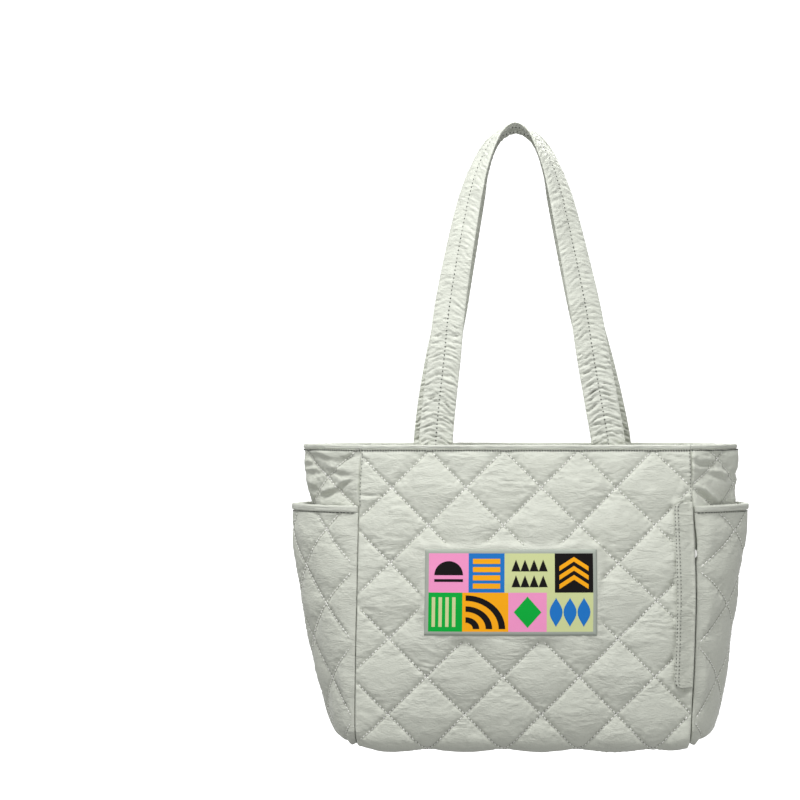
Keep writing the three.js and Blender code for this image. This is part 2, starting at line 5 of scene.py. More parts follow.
import bmesh
import bpy
import numpy as np
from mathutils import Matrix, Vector


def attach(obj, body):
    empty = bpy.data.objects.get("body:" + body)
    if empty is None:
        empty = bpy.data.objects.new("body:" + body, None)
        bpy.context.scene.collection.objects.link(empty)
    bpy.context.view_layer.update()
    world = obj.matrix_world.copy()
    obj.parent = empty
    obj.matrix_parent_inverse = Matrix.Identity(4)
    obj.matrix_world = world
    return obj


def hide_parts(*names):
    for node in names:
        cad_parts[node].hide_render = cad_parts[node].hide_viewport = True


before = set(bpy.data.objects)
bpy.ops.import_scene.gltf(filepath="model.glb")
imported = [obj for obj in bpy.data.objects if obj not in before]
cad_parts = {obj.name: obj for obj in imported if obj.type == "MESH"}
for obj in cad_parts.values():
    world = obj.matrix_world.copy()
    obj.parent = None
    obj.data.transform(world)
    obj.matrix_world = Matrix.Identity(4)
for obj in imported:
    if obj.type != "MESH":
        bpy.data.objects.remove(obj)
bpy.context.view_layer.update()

# Sizes in millimetres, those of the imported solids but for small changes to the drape. The bag's own
# zero is at the middle of its rim; the whole tote's zero is where it hangs, under the crown of the
# handles.
BODY_HEIGHT = 306.5
PANEL_WIDTH = 340
BASE_DEPTH = 150
WRAP_RADIUS = 24
FOLD_POWER = 3  # 2 keeps the fold round, more makes it squarer
PANEL_BOW = 9
GUSSET_WIDTH = 178
SIDE_BULGE = 74
GUSSET_POINT = 1.45  # 1 brings a gusset to a sharp fold, 2 rounds it
POCKET_FULLNESS = 2.2

WALL_INNER = 2.6
PANEL_PROUD = 1.2
PAD_RISE = 4.2
GUSSET_RISE = 3.2
SEWN_GAP = 0.5

PITCH_ACROSS = 76
PITCH_DOWN = 75.3

HEM_HEIGHT = 5
HEM_INSIDE = 4.2
HEM_OUTSIDE = 2.3
RIM_OUTSIDE = 1.5

POCKET_HEIGHT = 245
POCKET_HEM = 7
POCKET_WALL = 2.4
POCKET_EDGE = 0.9
POCKET_HOLLOW = 20
POCKET_INSET = 1.6
SEAM_INSET = 0.3
OPEN_INSET = 0.7  # at the right pocket's front edge, beside the zip

HANDLE_RISE = 327.5
HANDLE_WIDTH = 33.6
HANDLE_THICKNESS = 4.8
FRONT_SPREAD = 176
BACK_SPREAD = 198
END_DEPTH = 24  # how far below the rim a handle's ends reach
END_OFFSET = -3.5  # the handles stand a little left of the panels' middle and lean further left
CROWN_OFFSET = -10.5

COVER_TOP = 58
COVER_LENGTH = 185
COVER_WIDTH = 20
COVER_THICKNESS = 2.2
COVER_CORNER = 8
ZIP_THICKNESS = 1.2
ZIP_WIDTH = 7
PULL_LENGTH = 9
PULL_WIDTH = 7
PULL_DROP = 47
PULL_SHOWS = 2.4  # how far the pull stands out from under the cover
PULL_GAPE = 1.8  # how far the pocket's edge gives way beside it

PATCH_WIDTH = 172
PATCH_HEIGHT = 85
PATCH_TOP = 105
PATCH_MIDDLE = -15
PATCH_THICKNESS = 1.2


def table(columns, rows):
    """Named columns from short rows."""
    return dict(zip(columns.split(), np.array(rows, float).T))


# The body from the base (height 0) to the rim (height 1), as shares of the sizes above
BODY = table("height left right depth bow", [
    (0.0, 1.0, 0.972, 1.0, 0.0),
    (0.09, 1.004, 0.977, 1.0, 0.35),
    (0.22, 1.003, 0.988, 0.985, 0.8),
    (0.36, 1.0, 0.999, 0.95, 1.0),
    (0.52, 0.995, 1.007, 0.9, 1.0),
    (0.66, 0.992, 1.003, 0.84, 0.9),
    (0.82, 0.989, 0.994, 0.77, 0.6),
    (1.0, 0.98, 0.985, 0.7, 0.3),
])
# How far the gussets belly out and how far the pockets stand off them
SIDES = table("height left right room_left room_right", [
    (0.0, 0.0, 0.0, 0.0, 0.0),
    (0.02, 0.17, 0.2, 0.1, 0.1),
    (0.05, 0.29, 0.32, 0.18, 0.13),
    (0.125, 0.39, 0.37, 0.22, 0.24),
    (0.25, 0.47, 0.36, 0.45, 0.5),
    (0.365, 0.5, 0.35, 0.74, 0.68),
    (0.5, 0.52, 0.345, 1.06, 0.93),
    (0.66, 0.62, 0.44, 1.1, 1.0),
    (0.82, 0.737, 0.65, 0.86, 0.6),
    (1.0, 0.862, 0.705, 0.8, 0.5),
])
# Folds pressed into the gussets above the pockets. side is -1 left, 1 right; place and reach are
# shares of the gusset's width, height and width of the body's height, drop tilts the fold, and
# depth is in millimetres.
SIDE_FOLDS = table("side height place reach width drop depth", [
    (-1, 0.956, 0.285, 0.1, 0.009, 0.008, -2.6),
    (-1, 0.957, 0.075, 0.06, 0.008, -0.01, -2.0),
    (-1, 0.926, 0.42, 0.06, 0.009, 0.0, -2.4),
    (-1, 0.902, 0.38, 0.07, 0.01, 0.0, -2.8),
    (-1, 0.902, 0.13, 0.09, 0.01, 0.008, -2.8),
    (-1, 0.866, 0.093, 0.05, 0.008, -0.01, -3.0),
    (-1, 0.836, 0.22, 0.09, 0.012, -0.014, -4.4),
    (-1, 0.852, 0.4, 0.05, 0.012, 0.0, -2.6),
    (-1, 0.93, 0.72, 0.16, 0.014, 0.02, -3.0),
    (-1, 0.87, 0.68, 0.14, 0.014, -0.02, -3.0),
    (1, 0.938, 0.085, 0.08, 0.009, -0.004, -3.0),
    (1, 0.915, 0.14, 0.13, 0.01, -0.012, 1.6),
    (1, 0.891, 0.235, 0.09, 0.01, -0.006, -2.8),
    (1, 0.828, 0.1, 0.08, 0.01, -0.022, -4.2),
    (1, 0.9, 0.43, 0.05, 0.01, 0.0, -1.2),
    (1, 0.856, 0.43, 0.05, 0.01, 0.0, -1.2),
    (1, 0.94, 0.72, 0.16, 0.014, -0.02, -3.0),
    (1, 0.88, 0.66, 0.14, 0.014, 0.02, -3.0),
])
# Where the lines of quilting run on each piece: a crossing they are counted from, their spacing,
# how much closer than that they come at the top and at the foot of the piece, and the seed of its
# crinkles
Lattice = namedtuple("Lattice", "column row across down upper lower seed")
LATTICES = {
    "front": Lattice(16, 43, 76.6, 75.3, 1, 1, 11),
    "back": Lattice(24, 43, 76, 75.3, 1, 1, 41),
    "gusset_left": Lattice(0, 65.6, 82, 63, 1, 1, 71),
    "gusset_right": Lattice(0, 41, 76, 53, 1, 1, 91),
    "pocket_left": Lattice(0, 48.4, 76, 75.3, 1.4, 1.0, 101),
    "pocket_right": Lattice(0, 50.4, 76, 75.3, 0.72, 0.88, 121),
}
# A handle from its end to its crown: how far its legs stand apart, and how far the band has
# turned from facing forward to facing outward
HANDLE = table("rise front back turn", [
    (0.0, 1.0, 1.0, 0),
    (0.12, 0.945, 0.94, 4),
    (0.265, 0.867, 0.84, 11),
    (0.414, 0.795, 0.722, 20),
    (0.563, 0.696, 0.617, 30),
    (0.714, 0.582, 0.511, 40),
    (0.79, 0.516, 0.453, 47),
    (0.866, 0.428, 0.394, 57),
    (0.943, 0.286, 0.283, 70),
    (0.982, 0.17, 0.17, 80),
    (1.0, 0.0, 0.0, 90),
])

MM = 0.001
BAG_PLACE = np.array([-CROWN_OFFSET, 0, -HANDLE_RISE])
HALF_PANEL = PANEL_WIDTH / 2
WRAP_START = BODY_HEIGHT - WRAP_RADIUS
WRAP_END = WRAP_START + WRAP_RADIUS * math.pi / 2
WALL_TOP = HEM_HEIGHT + SEWN_GAP
POCKET_TOP = BODY_HEIGHT - POCKET_HEIGHT
CROWN_HEIGHT = HANDLE_RISE + HANDLE_THICKNESS / 2
PATCH_LEFT = PATCH_MIDDLE - PATCH_WIDTH / 2
COVER_SEAT = 0.62  # how full the padding stays under the zip cover
COVER_LEFT = HALF_PANEL - COVER_WIDTH
COVER_RIGHT = HALF_PANEL - SEWN_GAP
COVER_BOTTOM = COVER_TOP + COVER_LENGTH
DIAMOND_SIDE = math.hypot(PITCH_ACROSS, PITCH_DOWN) / 2
PROBE = 0.5  # how far to each side a surface is read for its slope
SEAM_SHARE = 0.985  # a gusset's slope is read no nearer to its seams than this
MITRE_REACH = 2.2  # how far a sharp corner may stand out, in thicknesses of the wall

# Mesh spacing over the cloth, in millimetres
HALF_DIAMOND_STEPS = {"front": 24, "back": 17}
SEAM_COLUMNS = (0, 0.6, 1.3)
GUSSET_STEP = 1.4
HIDDEN_STEP = 5
POCKET_STEP = 1.5
HEM_STEP = 1.5
BAND_STEP = 1.05
BASE_STEP = 3
COVER_STEPS = (0.8, 1.4)
ZIP_STEPS = (0.8, 0.4)
PATCH_STEP = 1.8
HEM_SIDES = 18
BAND_SIDES = 52


# Curves and surfaces of the bag, for arrays of places on the cloth. face is -1 for the front and 1
# for the back, side is -1 for the left and 1 for the right.
def face_name(face):
    return "front" if face < 0 else "back"


def hand_name(side):
    return "left" if side < 0 else "right"


def read(sections, column, at, key="height"):
    """Reads a column anywhere along its table, with a smooth curve that never overshoots."""
    x, y = sections[key], sections[column]
    at = np.clip(at, x[0], x[-1])
    i = np.clip(np.searchsorted(x, at, side="right") - 1, 0, len(x) - 2)
    step = np.diff(x)
    slope = np.diff(y) / step
    both = slope[:-1] * slope[1:]
    same_way = both > 0
    inside = np.where(same_way, 2 * both / np.where(same_way, slope[:-1] + slope[1:], 1), 0)
    tangent = np.concatenate([slope[:1], inside, slope[-1:]])
    t = (at - x[i]) / step[i]
    bend = t * (1 - t) ** 2 * tangent[i] - t * t * (1 - t) * tangent[i + 1]
    return y[i] + (y[i + 1] - y[i]) * t * t * (3 - 2 * t) + step[i] * bend


def points(x, y, z):
    return np.stack(np.broadcast_arrays(x, y, z), axis=-1).astype(float)


def unit(vectors):
    return vectors / np.linalg.norm(vectors, axis=-1, keepdims=True)


def level(down):
    """Height, share of the body height and half depth at a length down the wall from the rim."""
    turn = np.clip((down - WRAP_START) / WRAP_RADIUS, 0, math.pi / 2)
    straight = down <= WRAP_START
    z = np.where(straight, -down, -(WRAP_START + WRAP_RADIUS * np.sin(turn)))
    height = 1 + z / BODY_HEIGHT
    upright = BASE_DEPTH / 2 * read(BODY, "depth", height)
    return z, height, np.where(straight, upright, BASE_DEPTH / 2 - WRAP_RADIUS * (1 - np.cos(turn)))


def half_depth(z):
    drop = np.clip(-z - WRAP_START, 0, WRAP_RADIUS)
    folded = BASE_DEPTH / 2 - WRAP_RADIUS + np.sqrt(WRAP_RADIUS**2 - drop**2)
    upright = BASE_DEPTH / 2 * read(BODY, "depth", 1 + z / BODY_HEIGHT)
    return np.where(-z > WRAP_START, folded, upright)


def half_width(side, height):
    return HALF_PANEL * np.where(side < 0, read(BODY, "left", height), read(BODY, "right", height))


def panel_surface(face, across, down):
    """The seam surface of the front or the back."""
    z, height, half = level(down)
    share = across / HALF_PANEL
    bow = PANEL_BOW * read(BODY, "bow", height) * (1 - share**2)
    return points(share * half_width(across, height), face * (half + bow), z)


def panel_normal(face, across, down):
    a = np.clip(across, PROBE - HALF_PANEL, HALF_PANEL - PROBE)
    b = np.clip(down, PROBE, WRAP_END - PROBE)
    along = panel_surface(face, a + PROBE, b) - panel_surface(face, a - PROBE, b)
    downward = panel_surface(face, a, b + PROBE) - panel_surface(face, a, b - PROBE)
    return unit(np.cross(along, downward) * face)


def gusset_reach(side, y, z):
    height = 1 + z / BODY_HEIGHT
    along = np.minimum(np.abs(y) / half_depth(z), 1)
    bulge = SIDE_BULGE * read(SIDES, hand_name(side), height)
    return half_width(side, height) + bulge * (1 - along**GUSSET_POINT)


def gusset_surface(side, across, down):
    """The seam surface of a side gusset; across runs from the front seam to the back one."""
    z, _, half = level(down)
    y = half * (2 * across / GUSSET_WIDTH - 1)
    return points(side * gusset_reach(side, y, z), y, z)


def gusset_normal(side, across, down):
    z = np.clip(level(down)[0], 2 * PROBE - BODY_HEIGHT, -PROBE)
    y = np.clip(2 * across / GUSSET_WIDTH - 1, -SEAM_SHARE, SEAM_SHARE) * half_depth(z)
    slope_y = (gusset_reach(side, y + PROBE, z) - gusset_reach(side, y - PROBE, z)) / (2 * PROBE)
    slope_z = (gusset_reach(side, y, z + PROBE) - gusset_reach(side, y, z - PROBE)) / (2 * PROBE)
    return unit(points(side, -slope_y, -slope_z))


def mitre(a, b):
    """The outward direction that two walls share at a seam, longer the sharper they meet."""
    total = (a + b) / (1 + (a * b).sum(-1, keepdims=True))
    length = np.linalg.norm(total, axis=-1, keepdims=True)
    return total * np.minimum(1, MITRE_REACH / length)


def panel_outward(face, across, down):
    normal = panel_normal(face, across, down)
    seam = np.where(face < 0, 0, GUSSET_WIDTH)
    left = mitre(normal, gusset_normal(-1, seam, down))
    right = mitre(normal, gusset_normal(1, seam, down))
    beside = (np.abs(across) > HALF_PANEL - SEWN_GAP)[..., None]
    return np.where(beside, np.where((across < 0)[..., None], left, right), normal)


def gusset_outward(side, across, down):
    normal = gusset_normal(side, across, down)
    front = mitre(normal, panel_normal(-1, side * HALF_PANEL, down))
    back = mitre(normal, panel_normal(1, side * HALF_PANEL, down))
    base = mitre(normal, points(0 * down, 0, -1))
    out = np.where((across < SEWN_GAP)[..., None], front, normal)
    out = np.where((across > GUSSET_WIDTH - SEWN_GAP)[..., None], back, out)
    return np.where((down > WRAP_END - SEWN_GAP)[..., None], base, out)


def pocket_inside(side, across, down):
    _, height, _ = level(down)
    share = np.abs(2 * across / GUSSET_WIDTH - 1)
    room = POCKET_HOLLOW * read(SIDES, f"room_{hand_name(side)}", height)
    off = room * (1 - share**POCKET_FULLNESS)
    lifted = gusset_surface(side, across, down) + gusset_normal(side, across, down) * SEWN_GAP
    return lifted + points(side * off, 0, 0)


# Cloth: random crinkles, the quilting and what presses it flat
NOISE_KNOTS = 97


def noise(x, y, seed):
    """Smooth random heights from about -1 to 1, with a knot at each whole x and y."""
    turns = np.random.default_rng(seed).uniform(0, 2 * math.pi, (NOISE_KNOTS, NOISE_KNOTS))
    i, j = np.floor(x).astype(int), np.floor(y).astype(int)
    fx, fy = x - i, y - j

    def corner(di, dj):
        turn = turns[(i + di) % NOISE_KNOTS, (j + dj) % NOISE_KNOTS]
        return np.cos(turn) * (fx - di) + np.sin(turn) * (fy - dj)

    sx = fx**3 * (fx * (6 * fx - 15) + 10)
    sy = fy**3 * (fy * (6 * fy - 15) + 10)
    low = corner(0, 0) * (1 - sx) + corner(1, 0) * sx
    high = corner(0, 1) * (1 - sx) + corner(1, 1) * sx
    return 1.5 * (low * (1 - sy) + high * sy)


def crinkle(across, down, seed, long, short):
    """Washed nylon: small sharp ridges, longer across the cloth than down it."""
    drift = 4 * noise(across / 31, down / 23, seed)
    large = (1 - np.abs(noise(across / long, (down + drift) / short, seed + 1))) ** 3
    tilted = down + 0.35 * across + drift
    fine = (1 - np.abs(noise(across / (0.6 * long), tilted / (0.7 * short), seed + 2))) ** 3
    here = np.clip(0.5 + 1.4 * noise(across / 37, down / 29, seed + 3), 0.1, 1.4)
    return (1.05 * large + 0.4 * fine - 0.6) * here


def swell(distance, reach):
    """A rounded edge: 0 at the seam, 1 from the reach inwards."""
    inward = np.clip(distance / reach, 0, 1)
    return np.sqrt(np.maximum(1 - (1 - inward) ** 2, 0))


def ease(share):
    """A smooth step from 0 to 1."""
    share = np.clip(share, 0, 1)
    return share * share * (3 - 2 * share)


def ramp(at, start, end):
    """A smooth step from 0 at the start to 1 at the end."""
    return ease((at - start) / (end - start))


def hump(x, y, wide, tall):
    """A soft hump, 1 at 0, 0 and gone about twice its size away."""
    return np.exp(-((x / wide) ** 2) - (y / tall) ** 2)


def closeness(name, down):
    """How much closer a piece's lines come across it at each height."""
    lattice = LATTICES[name]
    share = np.clip((down - POCKET_TOP) / (WRAP_END - POCKET_TOP), 0, 1)
    return lattice.upper + (lattice.lower - lattice.upper) * share


def lattice_place(name, across, down):
    """A place counted in diamonds across and down from the piece's chosen crossing."""
    lattice = LATTICES[name]
    x = (across - lattice.column) * closeness(name, down) / lattice.across
    return x, (down - lattice.row) / lattice.down


def cloth_place(name, x, y):
    """The place on the cloth of a place in the lattice."""
    lattice = LATTICES[name]
    down = lattice.row + y * lattice.down
    return lattice.column + x * lattice.across / closeness(name, down), down


CELLS = 24  # simulated cells across a diamond
PATCH_CELLS = 120
SIM_UNIT = 10.0  # the cloth is simulated in units of 10 mm, where its settings behave
SIM_FRAMES = 24
SIM_PRESSURE = 7.0
SIM_SLACK = (1.02, 1.045)  # spare cloth across and down, taken up by the quilting


def simulated_quilting():
    """Flat cloth pushed up by its padding between the lines of stitches. Gives its lift and its
    sideways slip in millimetres over a grid of PATCH_CELLS each way."""
    wide, tall = PITCH_ACROSS / CELLS / SIM_UNIT, PITCH_DOWN / CELLS / SIM_UNIT
    bm = bmesh.new()
    bmesh.ops.create_grid(bm, x_segments=PATCH_CELLS, y_segments=PATCH_CELLS, size=0.5)
    mesh = finished_mesh("quilting", bm)
    flat = vertex_places(mesh)
    cell = np.rint((flat[:, :2] + 0.5) * PATCH_CELLS).astype(int)
    start = np.zeros_like(flat)
    start[:, 0] = cell[:, 0] * wide
    start[:, 1] = cell[:, 1] * tall
    start[:, 2] = 0.012 * noise(start[:, 0] / 0.9, start[:, 1] / 0.5, 5)
    set_places(mesh, start)
    cloth = in_scene("quilting", mesh)
    cloth.shape_key_add(name="Basis")
    slack = cloth.shape_key_add(name="Slack")
    loose = start * (*SIM_SLACK, 1)
    slack.data.foreach_set("co", loose.astype(np.float32).ravel())
    total, gap = cell.sum(axis=1), cell[:, 0] - cell[:, 1]
    border = ((cell == 0) | (cell == PATCH_CELLS)).any(axis=1)
    stitched = np.flatnonzero((total % CELLS == 0) | (gap % CELLS == 0) | border)
    group = cloth.vertex_groups.new(name="stitched")
    group.add(stitched.tolist(), 1.0, "REPLACE")
    bpy.context.view_layer.objects.active = cloth
    modifier = cloth.modifiers.new("Cloth", "CLOTH")
    settings = modifier.settings
    settings.quality = 6
    settings.mass = 0.3
    settings.tension_stiffness = 30
    settings.compression_stiffness = 30
    settings.shear_stiffness = 8
    settings.bending_stiffness = 0.6
    settings.vertex_group_mass = "stitched"
    settings.rest_shape_key = slack
    settings.use_pressure = True
    settings.uniform_pressure_force = SIM_PRESSURE
    settings.effector_weights.gravity = 0
    modifier.collision_settings.use_collision = False
    modifier.point_cache.frame_start = 1
    modifier.point_cache.frame_end = SIM_FRAMES
    scene = bpy.context.scene
    for step in range(1, SIM_FRAMES + 1):
        scene.frame_set(step)
    settled = cloth.evaluated_get(bpy.context.evaluated_depsgraph_get()).to_mesh()
    moved = (vertex_places(settled) - start) * SIM_UNIT
    cloth.evaluated_get(bpy.context.evaluated_depsgraph_get()).to_mesh_clear()
    scene.frame_set(1)
    bpy.data.objects.remove(cloth)
    field = np.zeros((PATCH_CELLS + 1, PATCH_CELLS + 1, 3))
    field[cell[:, 0], cell[:, 1]] = moved
    return field


def finished_mesh(name, bm):
    mesh = bpy.data.meshes.new(name)
    bm.to_mesh(mesh)
    bm.free()
    return mesh


def in_scene(name, data):
    made = bpy.data.objects.new(name, data)
    bpy.context.scene.collection.objects.link(made)
    return made


def vertex_places(mesh):
    found = np.empty(len(mesh.vertices) * 3, np.float32)
    mesh.vertices.foreach_get("co", found)
    return found.reshape(-1, 3).astype(float)


def set_places(mesh, places):
    mesh.vertices.foreach_set("co", np.ascontiguousarray(places, np.float32).ravel())
    mesh.update()


def sample(field, i, j):
    """Reads a grid between its knots with a smooth cubic."""
    last = field.shape[0] - 1
    i, j = np.clip(i, 0, last), np.clip(j, 0, last)
    i0, j0 = np.floor(i).astype(int), np.floor(j).astype(int)

    def weights(t):
        return (
            -0.5 * t + t**2 - 0.5 * t**3,
            1 - 2.5 * t**2 + 1.5 * t**3,
            0.5 * t + 2 * t**2 - 1.5 * t**3,
            -0.5 * t**2 + 0.5 * t**3,
        )

    total = 0
    for di, wi in enumerate(weights(i - i0)):
        for dj, wj in enumerate(weights(j - j0)):
            knot = field[np.clip(i0 + di - 1, 0, last), np.clip(j0 + dj - 1, 0, last)]
            total = total + (wi * wj)[..., None] * knot
    return total


quilting = simulated_quilting()
QUILT_PEAK = np.percentile(quilting[..., 2], 97)


# Where each piece lies on the simulated grid: a crossing of stitches there, and its directions
QUILT_PLACES = {
    "front": (60, 12, 1, 1),
    "back": (60, 108, -1, -1),
    "gusset_left": (12, 36, 1, 1),
    "gusset_right": (108, 36, -1, 1),
    "pocket_left": (24, 0, 1, 1),
    "pocket_right": (96, 0, -1, 1),
}


def quilted(name, across, down):
    """Lift (1 at a diamond's crown) and sideways slip in millimetres of the quilted cloth."""
    i0, j0, di, dj = QUILT_PLACES[name]
    x, y = lattice_place(name, across, down)
    moved = sample(quilting, i0 + di * x * CELLS, j0 + dj * y * CELLS)
    return moved[..., 2] / QUILT_PEAK, moved[..., 0] * di, moved[..., 1] * dj


# Puckers along the quilting, in millimetres
PUCKER_WIDTH = 3.4
PUCKER_LENGTH = 9
PUCKER_REACH = 6.5
GROOVE_DEPTH = 1.1


def stitch_pull(name, across, down, seed, groove=1.5):
    """Puckers beside the stitched lines: short folds square to the line, and a narrow groove."""
    x, y = lattice_place(name, across, down)
    total = 0
    for k, (line, along) in enumerate(((x + y, x - y), (x - y, x + y))):
        off = np.abs(line - np.rint(line)) * DIAMOND_SIDE
        pucker = noise(along * DIAMOND_SIDE / PUCKER_WIDTH, off / PUCKER_LENGTH, seed + k)
        total = total + pucker * np.exp(-((off / PUCKER_REACH) ** 2))
        total = total - GROOVE_DEPTH * np.exp(-((off / groove) ** 2))
    return total


# Meshes
def thicken(bm, height):
    """Closes a flat sheet to a slab of a height."""
    made = bmesh.ops.extrude_face_region(bm, geom=bm.faces[:], use_keep_orig=True)
    lifted = [part for part in made["geom"] if isinstance(part, bmesh.types.BMVert)]
    bmesh.ops.translate(bm, verts=lifted, vec=(0, 0, height))
    bmesh.ops.recalc_face_normals(bm, faces=bm.faces[:])


def wall(name, columns, rows, skin):
    """A closed wall of cloth over a grid. skin(across, down, outside) places its points."""
    wide, tall = len(columns) - 1, len(rows) - 1
    bm = bmesh.new()
    bmesh.ops.create_grid(bm, x_segments=wide, y_segments=tall, size=0.5)
    thicken(bm, 1)
    mesh = finished_mesh(name, bm)
    flat = vertex_places(mesh)
    across = columns[np.rint((flat[:, 0] + 0.5) * wide).astype(int)]
    down = rows[np.rint((flat[:, 1] + 0.5) * tall).astype(int)]
    outside = flat[:, 2] > 0.5
    return placed(name, mesh, across, down, skin(across, down, outside))


def placed(name, mesh, across, down, places):
    """Puts a mesh in its place in the tote, in metres, with its cloth's own lengths as its UV map."""
    volume_before = mesh_volume(mesh)
    set_places(mesh, in_metres(places))
    if mesh_volume(mesh) * volume_before < 0:
        mesh.flip_normals()
    mesh.shade_smooth()
    corners = np.empty(len(mesh.loops), np.int32)
    mesh.loops.foreach_get("vertex_index", corners)
    uv = mesh.uv_layers.new(name="cloth")
    lengths = np.stack([across[corners], down[corners]], axis=-1) * MM
    uv.data.foreach_set("uv", lengths.astype(np.float32).ravel())
    return in_scene(name, mesh)


# The corners of the base hang higher than its middle: by how much, where across the bag they rise
# and fall off again, and at what depth under the rim that sets in
CORNER_RISE = 4
CORNER_INNER = (140, 170)
CORNER_OUTER = (174, 190)
CORNER_DEPTH = (280, 306)


def in_metres(places):
    """Places in the tote's own frame, with the corners of the base drawn up a little."""
    off = np.abs(places[:, 0])
    corner = ramp(off, *CORNER_INNER) * (1 - ramp(off, *CORNER_OUTER))
    lift = CORNER_RISE * corner * ramp(-places[:, 2], *CORNER_DEPTH)
    return (places + points(0, 0, lift) + BAG_PLACE) * MM


def mesh_volume(mesh):
    mesh.calc_loop_triangles()
    index = np.empty(len(mesh.loop_triangles) * 3, np.int32)
    mesh.loop_triangles.foreach_get("vertices", index)
    corner = vertex_places(mesh)[index].reshape(-1, 3, 3)
    return np.einsum("ij,ij->i", corner[:, 0], np.cross(corner[:, 1], corner[:, 2])).sum() / 6


def roll(name, around, along, place):
    """A closed roll: place(turn, at) gives its points for turns 0 to 1 round it and for each
    value of along, and the lengths for its UV map."""
    bm = bmesh.new()
    bmesh.ops.create_cone(
        bm, cap_ends=True, cap_tris=False, segments=around, radius1=1, radius2=1, depth=1
    )
    sides = [edge for edge in bm.edges if abs(edge.verts[0].co.z - edge.verts[1].co.z) > 0.5]
    bmesh.ops.subdivide_edges(bm, edges=sides, cuts=len(along) - 2, use_grid_fill=False)
    mesh = finished_mesh(name, bm)
    flat = vertex_places(mesh)
    turn = np.mod(np.arctan2(flat[:, 1], flat[:, 0]) / (2 * math.pi), 1)
    step = np.rint((flat[:, 2] + 0.5) * (len(along) - 1)).astype(int)
    places, across, down = place(turn, step)
    return placed(name, mesh, across, down, places)


def spaced(start, end, step):
    return np.linspace(start, end, int(math.ceil((end - start) / step)) + 1)


def along_quilting(start, end, crossing, step):
    """Places spaced so that they fall on every crossing of the quilting, closer at the seams."""
    seams = np.array(SEAM_COLUMNS)
    first = math.ceil((start + seams[-1] - crossing) / step + 0.4)
    last = math.floor((end - seams[-1] - crossing) / step - 0.4)
    inside = crossing + step * np.arange(first, last + 1)
    return np.concatenate([start + seams, inside, end - seams[::-1]])


# The front, the back, the gussets and the base
PATCH_MARGIN = 1  # how far beside the patch the padding is still level
PATCH_FALL = 5
COVER_FALL = 1.6
COVER_END_FALL = 4  # gentler above and below the cover


def patch_edge(across, down):
    """How far a place lies inside the nearest edge of the printed patch."""
    left = np.minimum(across - PATCH_LEFT, PATCH_LEFT + PATCH_WIDTH - across)
    top = np.minimum(down - PATCH_TOP, PATCH_TOP + PATCH_HEIGHT - down)
    return np.minimum(left, top)


def patch_press(across, down):
    """1 under the printed patch, where the quilting is pressed level, falling to 0 beside it."""
    off = np.maximum(-patch_edge(across, down) - PATCH_MARGIN, 0)
    return np.exp(-((off / PATCH_FALL) ** 2))


def cover_press(across, down):
    """1 under the zip cover, falling to 0 beside it."""
    left = (COVER_LEFT - across) / COVER_FALL
    above = np.maximum(COVER_TOP - down, down - COVER_BOTTOM) / COVER_END_FALL
    return np.exp(-(np.maximum(np.maximum(left, above), 0) ** 2))


def cover_level(across):
    """How full the padding stays under the zip cover: level by its stitching, flat at the zip."""
    return COVER_SEAT * (1 - ramp(across, COVER_LEFT + 6, COVER_LEFT + 11))


# The one sharp crease of the front: how far it lies from the left seam and from the rim, how far
# its ends rise, its depth, and the height of the soft ridge under it
CREASE_INSET = 9
CREASE_DOWN = 51
CREASE_ARCH = 0.004
CREASE_DEPTH = 2.2
CREASE_RIDGE = 0.5


def front_crease(across, down):
    place = across + HALF_PANEL - CREASE_INSET
    fall = down - CREASE_DOWN + CREASE_ARCH * place**2
    return CREASE_RIDGE * hump(place, fall - 4, 11, 2.6) - CREASE_DEPTH * hump(place, fall, 10, 1.5)


# How far in from its seams the cloth rounds off. The side seams close tighter above the pockets.
SEAM_REACH = 2.8
TIGHT_SEAM_REACH = 1.7
TOP_REACH = 3.5
FOOT_REACH = 8


def seam_rise(seam, down):
    """How the cloth rounds down to its side seams."""
    return swell(seam, np.where(down < POCKET_TOP, TIGHT_SEAM_REACH, SEAM_REACH))


def edge_rise(seam, down):
    """How the cloth rounds down to its seams: beside, under the rim hem and at the base."""
    ends = swell(down - WALL_TOP, TOP_REACH) * swell(WRAP_END - down, FOOT_REACH)
    return seam_rise(seam, down) * ends


def fold_fullness(down):
    """How far the padding squares off the round fold under the base."""
    turn = np.clip((down - WRAP_START) / WRAP_RADIUS, 0, math.pi / 2)
    power_sum = np.cos(turn) ** FOLD_POWER + np.sin(turn) ** FOLD_POWER
    return WRAP_RADIUS * (power_sum ** (-1 / FOLD_POWER) - 1)


BASE_THINNING = 0.3  # the bag's own weight presses the padding under the base


def panel_rise(face, across, down):
    """The height of a panel's outside over its seam surface, and its sideways slip."""
    seam = HALF_PANEL - np.abs(across)
    name = face_name(face)
    lift, slip_across, slip_down = quilted(name, across, down)
    seed = LATTICES[name].seed
    detail = stitch_pull(name, across, down, seed)
    if face < 0:
        under = patch_press(across, down)
        lift = lift * (1 - under) + under
        flat = cover_press(across, down)
        lift = lift * (1 - flat) + cover_level(across) * flat
        detail = (detail + front_crease(across, down)) * (1 - under) * (1 - flat)
    rounding = edge_rise(seam, down)
    loft = PAD_RISE * (1 - BASE_THINNING * ramp(down, WRAP_START + 10, WRAP_START + 30))
    rise = PANEL_PROUD * seam_rise(seam, down) + loft * lift * rounding
    rise = rise + fold_fullness(down) * swell(seam, 5)
    rise = rise + rounding * (detail + 0.7 * crinkle(across, down, seed, 19, 6))
    return rise, slip_across * rounding, slip_down * rounding


